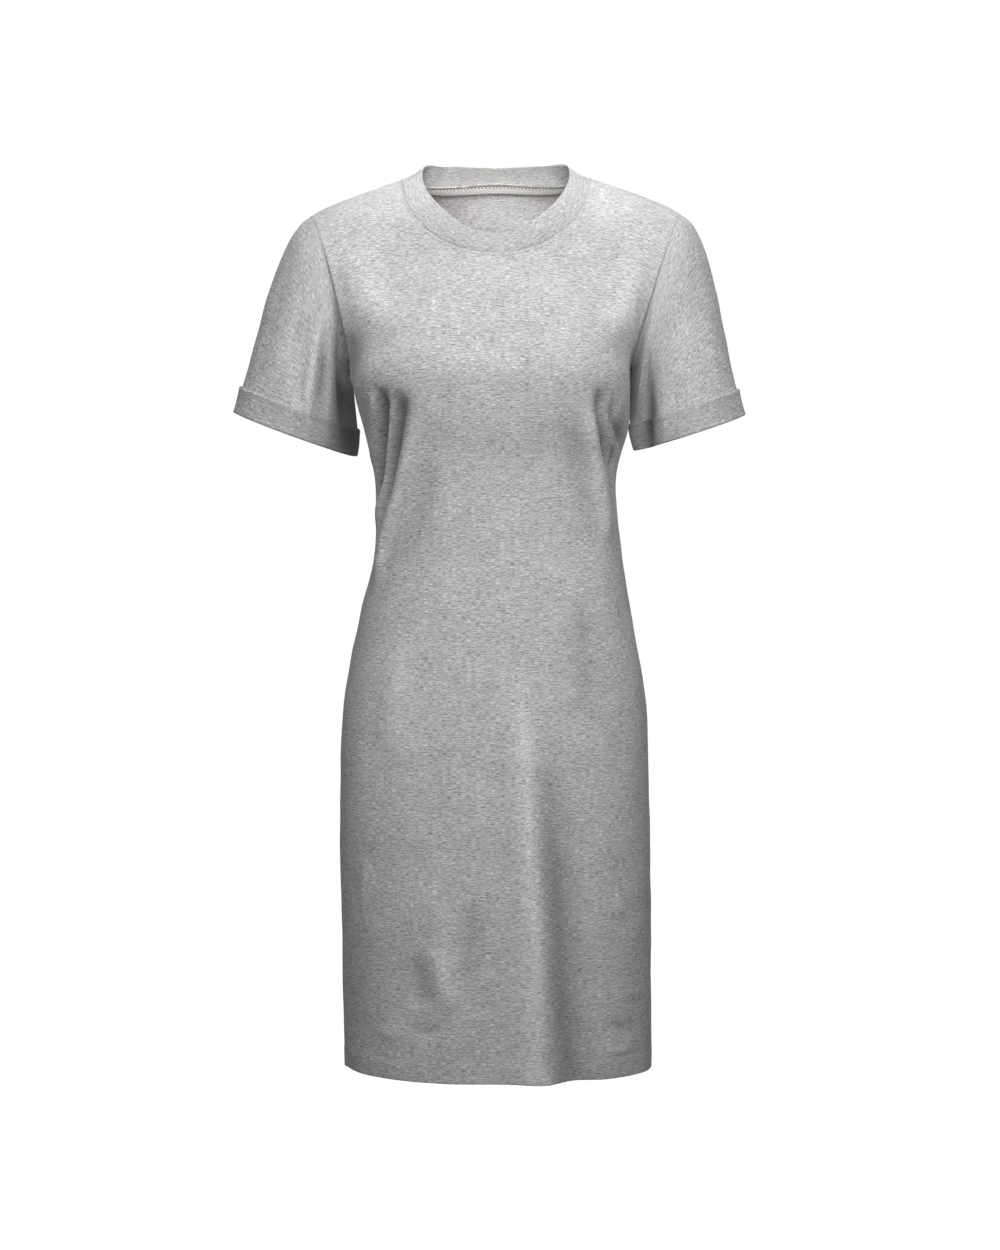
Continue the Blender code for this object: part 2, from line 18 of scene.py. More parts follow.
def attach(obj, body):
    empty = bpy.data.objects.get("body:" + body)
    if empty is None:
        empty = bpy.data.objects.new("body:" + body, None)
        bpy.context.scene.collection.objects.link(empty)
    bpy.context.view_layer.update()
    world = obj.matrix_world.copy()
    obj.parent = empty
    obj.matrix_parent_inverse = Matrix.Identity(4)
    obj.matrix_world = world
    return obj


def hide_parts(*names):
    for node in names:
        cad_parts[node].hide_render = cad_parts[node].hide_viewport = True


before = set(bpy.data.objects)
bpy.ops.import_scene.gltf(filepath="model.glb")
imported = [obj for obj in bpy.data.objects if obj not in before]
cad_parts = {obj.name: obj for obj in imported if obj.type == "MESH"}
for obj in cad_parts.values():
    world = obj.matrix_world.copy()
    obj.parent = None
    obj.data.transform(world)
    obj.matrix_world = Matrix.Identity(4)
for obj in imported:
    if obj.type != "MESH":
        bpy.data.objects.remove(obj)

LOG = logging.getLogger("tshirt_dress")
MM = 0.001
Array = np.ndarray
Material = bpy.types.Material
Socket = bpy.types.NodeSocket


class Face(Enum):
    """The two body panels, by the side of the body that they face."""

    FRONT = -1
    BACK = 1


class Hand(Enum):
    """The wearer's two sides."""

    RIGHT = -1
    LEFT = 1


# ------------------------------ helpers


def unit(vectors: Array) -> Array:
    """Scale each vector to length one."""
    length = np.linalg.norm(vectors, axis=-1, keepdims=True)
    return vectors / np.maximum(length, 1e-12)


def bell(distance: Array, width: float) -> Array:
    """A soft bell of height one, `width` from its middle to where it has fallen to 37 %."""
    return np.exp(-(distance / width) ** 2)


def smooth(value: Array, low: float, high: float) -> Array:
    """Rise smoothly from 0 at low to 1 at high."""
    part = np.clip((value - low) / (high - low), 0, 1)
    return part * part * (3 - 2 * part)


def read_rows(target: Array, stations: Array, values: Array) -> Array:
    """Read each row of values where its own rising stations reach the target.

    Args:
        target: one wanted station per row.
        stations: rising stations, one row per target.
        values: values at those stations.

    Returns:
        One value per row.
    """
    last = stations.shape[1] - 2
    low = np.clip((stations <= target[:, None]).sum(axis=1) - 1, 0, last)
    rows = np.arange(len(target))
    span = np.maximum(stations[rows, low + 1] - stations[rows, low], 1e-12)
    part = np.clip((target - stations[rows, low]) / span, 0, 1)
    return values[rows, low] * (1 - part) + values[rows, low + 1] * part


def spread(low: float, high: float, spans: int, dense_low: float = 1.0,
           dense_high: float = 1.0, reach: float = 0.15) -> Array:
    """Stations from low to high that lie closer together towards either end.

    Args:
        low: first station.
        high: last station.
        spans: how many spans lie between them.
        dense_low: how many times closer the stations are at the low end.
        dense_high: the same at the high end.
        reach: share of the length over which the closeness fades.

    Returns:
        The spans + 1 stations.
    """
    part = np.linspace(0, 1, 801)
    density = 1 + (dense_low - 1) * bell(part, reach) + (dense_high - 1) * bell(1 - part, reach)
    total = np.concatenate(([0], np.cumsum((density[1:] + density[:-1]) / 2)))
    return low + (high - low) * np.interp(np.linspace(0, total[-1], spans + 1), total, part)


def grid_normals(grid: Array, closed: bool) -> Array:
    """Outward unit normals of a grid whose columns may close into a ring."""
    if closed:
        wide = np.concatenate((grid[:, -1:], grid, grid[:, :1]), axis=1)
        along = (wide[:, 2:] - wide[:, :-2]) / 2
    else:
        along = np.gradient(grid, axis=1)
    return unit(np.cross(along, np.gradient(grid, axis=0)))


def run_length(points: Array, axis: int) -> Array:
    """Length run from the first point along one axis of a grid."""
    steps = np.linalg.norm(np.diff(points, axis=axis), axis=2)
    total = np.cumsum(steps, axis=axis)
    pad = [(0, 0), (0, 0)]
    pad[axis] = (1, 0)
    return np.pad(total, pad)


def wrapped(grid: Array) -> Array:
    """A ring's grid with its first column repeated after its last."""
    return np.concatenate((grid, grid[:, :1]), axis=1)


def at_distances(grid: Array, run: Array, distances: Array) -> Array:
    """Read each column of a grid at some distances along it.

    Args:
        grid: points or vectors, with the way along as rows.
        run: how far along its column each of them lies.
        distances: the wanted distances.

    Returns:
        A grid with a row for each distance.
    """
    columns = [np.stack([np.interp(distances, run[:, column], grid[:, column, axis])
                         for axis in range(3)], axis=1) for column in range(grid.shape[1])]
    return np.stack(columns, axis=1)


@dataclass(frozen=True)
class Table:
    """A short table with named columns, read anywhere on a smooth curve through its rows."""

    columns: tuple
    rows: tuple
    level_ends: bool = False

    def read(self, column: str, station: Array) -> Array:
        """Read one column.

        Args:
            column: the column's name; the first column holds the stations.
            station: where to read it, between the first row and the last.

        Returns:
            The column's values at those stations.
        """
        grid = np.array(self.rows, dtype=float).T
        stations = grid[0]
        values = grid[self.columns.index(column)]
        slopes = np.gradient(values, stations)
        if self.level_ends:
            slopes[[0, -1]] = 0
        low = np.clip(np.searchsorted(stations, station) - 1, 0, len(values) - 2)
        span = stations[low + 1] - stations[low]
        part = np.clip((station - stations[low]) / span, 0, 1)
        rest = 1 - part
        return (values[low] * (1 + 2 * part) * rest ** 2 + slopes[low] * span * part * rest ** 2
                + values[low + 1] * part ** 2 * (3 - 2 * part)
                - slopes[low + 1] * span * part ** 2 * rest)


# ------------------------------ materials


def add_node(tree: bpy.types.NodeTree, kind: str, inputs: dict | None,
             settings: dict) -> bpy.types.Node:
    """Add a node to a tree.

    Args:
        tree: the tree.
        kind: the node's full type.
        inputs: values or sockets, by input name or number.
        settings: the node's own settings.

    Returns:
        The new node.
    """
    node = tree.nodes.new(kind)
    for name, value in settings.items():
        setattr(node, name, value)
    for name, value in (inputs or {}).items():
        socket = node.inputs[name]
        if isinstance(value, Socket):
            tree.links.new(value, socket)
        else:
            socket.default_value = value
    return node


class Nodes:
    """Short calls that add shader nodes to one material and link them."""

    def __init__(self, name: str) -> None:
        """Open a new material with an empty tree."""
        self.material = bpy.data.materials.new(name)
        self.material.use_nodes = True
        self.tree = self.material.node_tree
        self.tree.nodes.clear()

    def add(self, kind: str, inputs: dict | None = None, **settings: object) -> bpy.types.Node:
        """Add a node by its type without the ShaderNode prefix, as add_node does."""
        return add_node(self.tree, "ShaderNode" + kind, inputs, settings)

    def math(self, operation: str, first: object, second: object = 0.0) -> Socket:
        """Add a Math node and return its result."""
        return self.add("Math", {0: first, 1: second}, operation=operation).outputs[0]

    def noise(self, place: Socket, scale: tuple, detail: float,
              shift: float) -> Socket:
        """Add a stretched noise.

        Args:
            place: the coordinates to read it at, in metres.
            scale: its cells a metre along each axis.
            detail: how many finer layers it has.
            shift: an offset that makes it unlike the other noises.

        Returns:
            The noise's value socket, from 0 to 1.
        """
        turned = self.add("Mapping", {"Vector": place, "Scale": scale,
                                      "Location": (shift, shift * 0.7, shift * 1.3)})
        texture = self.add("TexNoise", {"Vector": turned.outputs[0], "Scale": 1.0,
                                        "Detail": detail, "Roughness": 0.55})
        return texture.outputs[0]

    def finish(self, surface: Socket) -> Material:
        """Link the surface to the output and return the material."""
        output = self.tree.nodes.new("ShaderNodeOutputMaterial")
        self.tree.links.new(surface, output.inputs["Surface"])
        return self.material


@dataclass(frozen=True)
class HeatherJersey:
    """Single jersey knitted from a yarn of light and dark cotton fibres mixed together."""

    name: str = "heather_jersey"
    dark: tuple = (0.125, 0.125, 0.128, 1.0)
    middle: tuple = (0.355, 0.352, 0.350, 1.0)
    light: tuple = (0.66, 0.655, 0.645, 1.0)
    streak_length: float = 4.9 * MM
    streak_height: float = 0.92 * MM
    contrast: float = 0.95
    wale: float = 0.95 * MM
    course: float = 0.75 * MM
    relief: float = 0.16 * MM
    sheen: float = 0.12
    # How strongly the painted shade carried by the mesh darkens the colour where it is full.
    painted_shade_strength: float = 0.66

    def make(self) -> Material:
        """Build the material: streaks of fibre along the courses, the knit's relief, and the painted
        shade and highlight that the meshes carry.
        """
        nodes = Nodes(self.name)
        cloth = nodes.add("UVMap", uv_map="weave").outputs[0]
        long_way = 1 / self.streak_length
        high_way = 1 / self.streak_height
        streaks = nodes.noise(cloth, (long_way, high_way, 1), 1.5, 3.1)
        fine = nodes.noise(cloth, (long_way * 1.9, high_way * 1.6, 1), 1.0, 7.7)
        slubs = nodes.noise(cloth, (long_way * 0.42, high_way * 0.62, 1), 1.0, 12.9)
        cloudy = nodes.noise(cloth, (28, 40, 1), 2.0, 21.3)
        mix = nodes.math("MULTIPLY_ADD", streaks, 0.95 * self.contrast)
        mix.node.inputs[2].default_value = 0.5 - 0.475 * self.contrast
        for value, weight in ((fine, 0.60), (slubs, 0.40), (cloudy, 0.14)):
            part = nodes.math("MULTIPLY", nodes.math("SUBTRACT", value, 0.5),
                              weight * self.contrast)
            mix = nodes.math("ADD", mix, part)
        ramp = nodes.add("ValToRGB", {"Fac": mix})
        ramp.color_ramp.interpolation = "EASE"
        stops = ramp.color_ramp.elements
        stops[0].position = 0.20
        stops[0].color = self.dark
        stops[1].position = 0.84
        stops[1].color = self.light
        middle = stops.new(0.53)
        middle.color = self.middle
        relief = self.knit_relief(nodes, cloth, streaks)
        rough = nodes.add("MapRange", {"Value": fine, "To Min": 0.84, "To Max": 0.98})
        # Painted shade: a mesh attribute darkens the colour in creases, along seams and on the
        # sleeves beside the body, and lightens it a little on ridges as a painted highlight.
        painted_shade = nodes.add("Attribute", attribute_name="painted_shade").outputs["Fac"]
        kept = nodes.math("SUBTRACT", 1.0, nodes.math("MULTIPLY", painted_shade, self.painted_shade_strength))
        colour = nodes.add("VectorMath", {0: ramp.outputs[0], "Scale": kept}, operation="SCALE")
        shader = nodes.add("BsdfPrincipled", {
            "Base Color": colour.outputs[0], "Roughness": rough.outputs[0],
            "Specular IOR Level": 0.22, "Sheen Weight": self.sheen, "Sheen Roughness": 0.55,
            "Normal": relief})
        return nodes.finish(shader.outputs[0])

    def knit_relief(self, nodes: Nodes, cloth: Socket,
                    streaks: Socket) -> Socket:
        """Build the bump of the wales and courses, broken up by the yarn's uneven thickness.

        Args:
            nodes: the material being made.
            cloth: the cloth's own coordinates in metres.
            streaks: the fibre pattern, which also stands proud a little.

        Returns:
            The bumped normal.
        """
        wander = nodes.noise(cloth, (120, 160, 1), 1.0, 31.7)
        split = nodes.add("SeparateXYZ", {0: cloth})
        bend = nodes.math("MULTIPLY", wander, 1.6)
        across = nodes.math("ADD", nodes.math("MULTIPLY", split.outputs[0],
                                              2 * math.pi / self.wale), bend)
        up = nodes.math("MULTIPLY", split.outputs[1], 2 * math.pi / self.course)
        legs = nodes.math("ABSOLUTE", nodes.math("SINE", nodes.math("MULTIPLY", across, 0.5)))
        loops = nodes.math("SINE", nodes.math("ADD", up, nodes.math("MULTIPLY", legs, 2.2)))
        knit = nodes.math("ADD", legs, nodes.math("MULTIPLY", loops, 0.35))
        height = nodes.math("ADD", nodes.math("MULTIPLY", knit, 0.45),
                            nodes.math("MULTIPLY", streaks, 0.9))
        return nodes.add("Bump", {"Height": height, "Strength": 0.55,
                                  "Distance": self.relief}).outputs[0]


@dataclass(frozen=True)
class TwillTape:
    """Off-white cotton tape woven with slanting ribs."""

    name: str = "twill_tape"
    light: tuple = (0.72, 0.71, 0.685, 1.0)
    shade: tuple = (0.16, 0.158, 0.152, 1.0)
    rib: float = 2.9 * MM
    slant: float = -0.75
    width: float = 10.5 * MM

    def make(self) -> Material:
        """Build the material: slanting ribs with painted shade in the grooves between them, and a
        painted shadow along the lower edge.
        """
        nodes = Nodes(self.name)
        cloth = nodes.add("UVMap", uv_map="weave").outputs[0]
        split = nodes.add("SeparateXYZ", {0: cloth})
        along = nodes.math("MULTIPLY", split.outputs[0], self.slant)
        wander = nodes.math("MULTIPLY", nodes.noise(cloth, (300, 300, 1), 1.0, 4.3), 0.7)
        phase = nodes.math("MULTIPLY", nodes.math("ADD", along, split.outputs[1]),
                           2 * math.pi / self.rib)
        ribs = nodes.math("SINE", nodes.math("ADD", phase, wander))
        fibre = nodes.noise(cloth, (900, 2600, 1), 1.0, 9.1)
        level = nodes.math("MULTIPLY_ADD", ribs, 0.4)
        level.node.inputs[2].default_value = 0.5
        level = nodes.math("ADD", level, nodes.math("MULTIPLY", fibre, 0.4))
        # Painted shade: the dark colour between the ribs stands for the shade in their grooves.
        colour = nodes.add("Mix", {"Factor": level, 6: self.shade, 7: self.light},
                           data_type="RGBA")
        # Painted shadow: the colour darkens over the lowest 2 mm, for the shade under the tape's
        # lower edge.
        rim = nodes.add("MapRange", {"Value": split.outputs[1], "To Min": 0.22, "To Max": 1.0,
                                     "From Min": -self.width, "From Max": 2.0 * MM - self.width})
        shadow_edged = nodes.add("VectorMath", {0: colour.outputs[2], "Scale": rim.outputs[0]},
                          operation="SCALE")
        bump = nodes.add("Bump", {"Height": level, "Strength": 0.6, "Distance": 0.25 * MM})
        shader = nodes.add("BsdfPrincipled", {
            "Base Color": shadow_edged.outputs[0], "Roughness": 0.82,
            "Specular IOR Level": 0.3, "Normal": bump.outputs[0]})
        return nodes.finish(shader.outputs[0])


@dataclass(frozen=True)
class SewingThread:
    """Spun polyester thread matched to the cloth, with the twist of its plies."""

    name: str
    colour: tuple
    twist: float = 1400.0

    def make(self) -> Material:
        """Build the material: a twisted two-tone thread with a faint gloss."""
        nodes = Nodes(self.name)
        place = nodes.add("TexCoord").outputs["Object"]
        plies = nodes.add("TexWave", {"Vector": place, "Scale": self.twist, "Distortion": 2.0},
                          bands_direction="DIAGONAL").outputs[1]
        shade = tuple(value * 0.62 for value in self.colour[:3]) + (1.0,)
        colour = nodes.add("Mix", {"Factor": plies, 6: shade, 7: self.colour},
                           data_type="RGBA")
        bump = nodes.add("Bump", {"Height": plies, "Strength": 0.4, "Distance": 0.08 * MM})
        shader = nodes.add("BsdfPrincipled", {
            "Base Color": colour.outputs[2], "Roughness": 0.6, "Normal": bump.outputs[0]})
        return nodes.finish(shader.outputs[0])


# ------------------------------ the body's form


@dataclass(frozen=True)
class BodyForm:
    """The form that the cloth takes: level sections from the hem to the shoulder line."""

    hem: float = -921 * MM
    underarm: float = -213 * MM
    shoulder_point: float = -42 * MM
    hem_dip: float = 6 * MM
    hem_dip_reach: float = 0.1
    lean: float = 1.5 * MM
    shoulder_half_width: float = 195 * MM
    neck_half_width: float = 97 * MM
    neck_front: float = -88 * MM
    neck_back: float = 66 * MM
    crown: float = 21 * MM
    crown_rounding: float = 0.2
    point_drop: float = 6 * MM
    point_drop_power: int = 12
    half_columns: int = 13
    neck_columns: int = 9
    column_blend: float = 1.5
    squareness: float = 2.2
    samples: int = 61
    body: Table = Table(
        ("height", "half_right", "half_left", "widest", "front", "back", "seam_right",
         "seam_left"),
        ((-921, 157, 162, 0, -112, 112, -34, 6),
         (-780, 160, 161, 0, -112, 116, -30, 6),
         (-640, 162, 159, 0, -107, 125, -18, 4),
         (-540, 157, 155, 0, -101, 116, -6, 4),
         (-450, 139, 139, -4, -96, 98, 0, 4),
         (-390, 125, 130, -8, -93, 89, 2, 4),
         (-345, 125, 125, -14, -94, 87, 4, 5),
         (-300, 126, 125, -22, -101, 90, 6, 6),
         (-260, 134, 134, -32, -113, 93, 8, 8),
         (-213, 151, 138, -38, -123, 95, 8, 8)))
    yoke_columns: tuple = ("share", "edge_right", "edge_left", "edge_depth", "centre_depth",
                           "turn")
    yoke_front: tuple = ((0.12, 149, 137, -11, -116, -0.31),
                         (0.25, 152, 142, -34, -106, 0.0),
                         (0.50, 164, 160, -50, -60, 0.45),
                         (0.75, 181, 180, -32, -26, 0.50),
                         (1.00, 195, 195, 5, 5, 0.55))
    yoke_back: tuple = ((0.12, 146, 135, 27, 98, 0.42),
                        (0.25, 152, 144, 46, 99, 0.50),
                        (0.50, 168, 164, 62, 92, 0.60),
                        (0.75, 184, 183, 44, 71, 0.60),
                        (1.00, 195, 195, 5, 5, 0.60))

    def edge_angle(self, turn: Array, depth: Array, other: Array) -> Array:
        """Angle on the section's arc of the edge; below zero is past the widest line."""
        power = self.squareness / 2
        fore = np.arcsin(np.clip(turn, 0, 1) ** power)
        aft = -np.arcsin(np.clip(-turn * depth / other, 0, 1) ** power)
        return np.where(turn >= 0, fore, aft)

    def skirt(self, face: Face, hand: Hand, level: Array) -> tuple:
        """Read the sections from the hem to the underarm.

        Args:
            face: front or back.
            hand: the wearer's right or left.
            level: 0 at the hem, 1 at the underarm.

        Returns:
            Half width, widest depth, centre depth, the other face's centre depth and the
            edge's angle, then the edge's depth and turn; lengths in millimetres.
        """
        height = (self.hem + (self.underarm - self.hem) * level) / MM
        names = ("front", "back") if face is Face.FRONT else ("back", "front")
        widest = self.body.read("widest", height)
        centre, other = (self.body.read(name, height) for name in names)
        seam = self.body.read("seam_" + hand.name.lower(), height)
        half = self.body.read("half_" + hand.name.lower(), height)
        turn = (seam - widest) / (centre - widest)
        angle = self.edge_angle(turn, abs(centre - widest), abs(other - widest))
        return half, widest, centre, other, angle, seam, turn

    def yoke_table(self, face: Face) -> Table:
        """The yoke's rows for one face, with the underarm's section as the first."""
        edges = {}
        for hand in Hand:
            half, _, centre, _, angle, seam, turn = self.skirt(face, hand, np.array(1.0))
            edges[hand] = half * math.cos(angle) ** (2 / self.squareness)
        first = (0.0, edges[Hand.RIGHT], edges[Hand.LEFT], seam, centre, turn)
        rows = self.yoke_front if face is Face.FRONT else self.yoke_back
        return Table(self.yoke_columns, (first,) + rows)

    def yoke(self, face: Face, hand: Hand, share: Array) -> tuple:
        """The first five of the values that skirt gives, for shares above the underarm."""
        table = self.yoke_table(face)
        edge = table.read("edge_" + hand.name.lower(), share)
        depth = table.read("edge_depth", share)
        centre = table.read("centre_depth", share)
        turn = table.read("turn", share)
        widest = (depth - turn * centre) / (1 - turn)
        name = "back" if face is Face.FRONT else "front"
        other = self.body.read(name, self.underarm / MM) + 0 * share
        angle = self.edge_angle(turn, abs(centre - widest), abs(other - widest))
        return edge / np.cos(angle) ** (2 / self.squareness), widest, centre, other, angle

    def surface(self, face: Face, across: Array, level: Array) -> tuple[Array, Array]:
        """Points of one face of the body.

        Args:
            face: front or back.
            across: signed share of the way from the centre line (0) to the edge (1 or -1).
            level: 0 at the hem, 1 at the underarm, 2 at the shoulder line.

        Returns:
            The points, and the length of the row each one lies on, in metres.
        """
        shape = across.shape
        across = across.ravel()
        level = level.ravel()
        share = np.clip(level - 1, 0, None)
        low = level <= 1
        left = across >= 0
        sides = []
        for hand in (Hand.LEFT, Hand.RIGHT):
            below = self.skirt(face, hand, np.minimum(level, 1))[:5]
            above = self.yoke(face, hand, share)
            sides.append([np.where(low, one, two) for one, two in zip(below, above)])
        section = [np.where(left, one, two) for one, two in zip(*sides)]
        way, angles, row_length = self.row_way(section)
        goal = np.abs(across)
        x, y = self.arc(section, read_rows(goal, way, angles))
        z = np.where(low, self.low_height(level, goal), self.high_height(share, goal))
        points = np.stack((np.where(left, 1, -1) * x * MM, y * MM, z), axis=1)
        return points.reshape(shape + (3,)), (row_length * MM).reshape(shape)

    def arc(self, section: list, angles: Array) -> tuple[Array, Array]:
        """Across and depth of the places at some angles of a section."""
        half, widest, centre, other = section[:4]
        power = 2 / self.squareness
        across = half * np.clip(np.cos(angles), 0, 1) ** power
        reach = np.abs(np.sin(angles)) ** power
        depth = widest + np.where(angles > 0, centre - widest, other - widest) * reach
        return across, depth

    def row_way(self, section: list) -> tuple[Array, Array, Array]:
        """Share of the way along each row at even angles, those angles, and the row's length."""
        steps = np.linspace(0, 1, self.samples)
        angles = math.pi / 2 + (section[4][:, None] - math.pi / 2) * steps
        across, depth = self.arc([value[:, None] for value in section], angles)
        run = np.hypot(np.diff(across), np.diff(depth))
        way = np.pad(np.cumsum(run, axis=1), ((0, 0), (1, 0)))
        return way / way[:, -1:], angles, way[:, -1]

    def low_height(self, level: Array, way: Array) -> Array:
        """Height of a place below the underarm; the hem dips a little at its middle."""
        fade = np.clip(1 - level / self.hem_dip_reach, 0, None) ** 2
        return (self.hem + (self.underarm - self.hem) * level
                - self.hem_dip * fade * (1 - way ** 3))

    def high_height(self, share: Array, way: Array) -> Array:
        """Height of a place above the underarm, up to the sloping shoulder line."""
        height = (self.underarm + (self.shoulder_point - self.underarm)
                  * (1 - np.cos(math.pi * share)) / 2)
        centre = (self.underarm + (self.crown - self.underarm) * share
                  * (1 + share - share ** 2))
        drop = self.point_drop * share ** 4
        top = math.hypot(1, self.crown_rounding)
        peak = (top - np.hypot(way, self.crown_rounding)) / (top - self.crown_rounding)
        return (height + drop + (centre - height - drop) * peak
                - drop * way ** self.point_drop_power)

    def leaned(self, points: Array) -> Array:
        """Raise the wearer's left shoulder a little and lower the right one."""
        ramp = np.clip((points[..., 2] - self.underarm) / (-self.underarm), 0, 1) ** 2
        lifted = points.copy()
        lifted[..., 2] += self.lean * ramp * points[..., 0] / self.shoulder_half_width
        return lifted

    def neck_places(self, face: Face, swing: Array) -> tuple[Array, Array]:
        """Share across and level of points of the neck seam.

        Args:
            face: front or back.
            swing: angle from the neck point (0) to the centre (pi / 2).

        Returns:
            The shares and the levels.
        """
        axis = 2 if face is Face.FRONT else 1
        goal = self.neck_front if face is Face.FRONT else self.neck_back
        wanted = self.neck_half_width * np.cos(swing)
        steps = np.linspace(0, 1, self.samples)

        def read(level: Array, width: Array) -> tuple[Array, Array]:
            """Share of the way along each level where it is that wide, and its height there."""
            shares = np.broadcast_to(steps, (len(level), self.samples))
            levels = np.broadcast_to(level[:, None], shares.shape)
            points, _ = self.surface(face, shares, levels)
            share = read_rows(width, points[..., 0], shares)
            return share, read_rows(share, shares, points[..., axis])

        start_share, start = read(np.array([2.0]), np.array([self.neck_half_width]))
        target = start + (goal - start) * np.sin(swing)
        low = np.full(len(swing), 1.25)
        high = np.full(len(swing), 2.0)
        for _ in range(30):
            level = (low + high) / 2
            _, value = read(level, wanted)
            up = (value < target) == (face is Face.FRONT)
            low = np.where(up, level, low)
            high = np.where(up, high, level)
        share, _ = read(low, wanted)
        at_point = swing <= 0
        return np.where(at_point, start_share, share), np.where(at_point, 2.0, low)

    def top_places(self, face: Face, columns: Array) -> tuple[Array, Array]:
        """Where columns end at the top: the signed shares across and the levels.

        Args:
            face: front or back.
            columns: places across, from -half_columns to half_columns.
        """
        away = np.abs(columns)
        swing = math.pi / 2 * np.clip(1 - away / self.neck_columns, 0, 1)
        neck_share, level = self.neck_places(face, swing)
        point_share = self.neck_places(face, np.zeros(1))[0][0]
        part = np.clip((away - self.neck_columns) / (self.half_columns - self.neck_columns), 0, 1)
        shoulder = point_share + (1 - point_share) * part
        on_neck = away < self.neck_columns
        share = np.where(on_neck, neck_share, shoulder)
        return np.sign(columns) * share, np.where(on_neck, level, 2.0)


# ------------------------------ folds and creases


@dataclass(frozen=True)
class Fold:
    """A long soft fold; its place round the body is 0 at the centre front and 1 at the back."""

    top: float
    bottom: float
    around: tuple
    width: float
    lift: float


@dataclass(frozen=True)
class Crease:
    """A crease along a smooth path, as a ridge where lift is above zero and a trough below.

    The path's places are across and height in millimetres, seen square on to the panel. The
    widths are the crease's on its right and left as one walks down the path.
    """

    path: tuple
    lift: float
    right: float
    left: float
    fade_in: float = 0.3
    fade_out: float = 0.3
    # Painted shade in a trough, or painted highlight on a ridge, at the crease's full lift.
    shade: float = 0.25


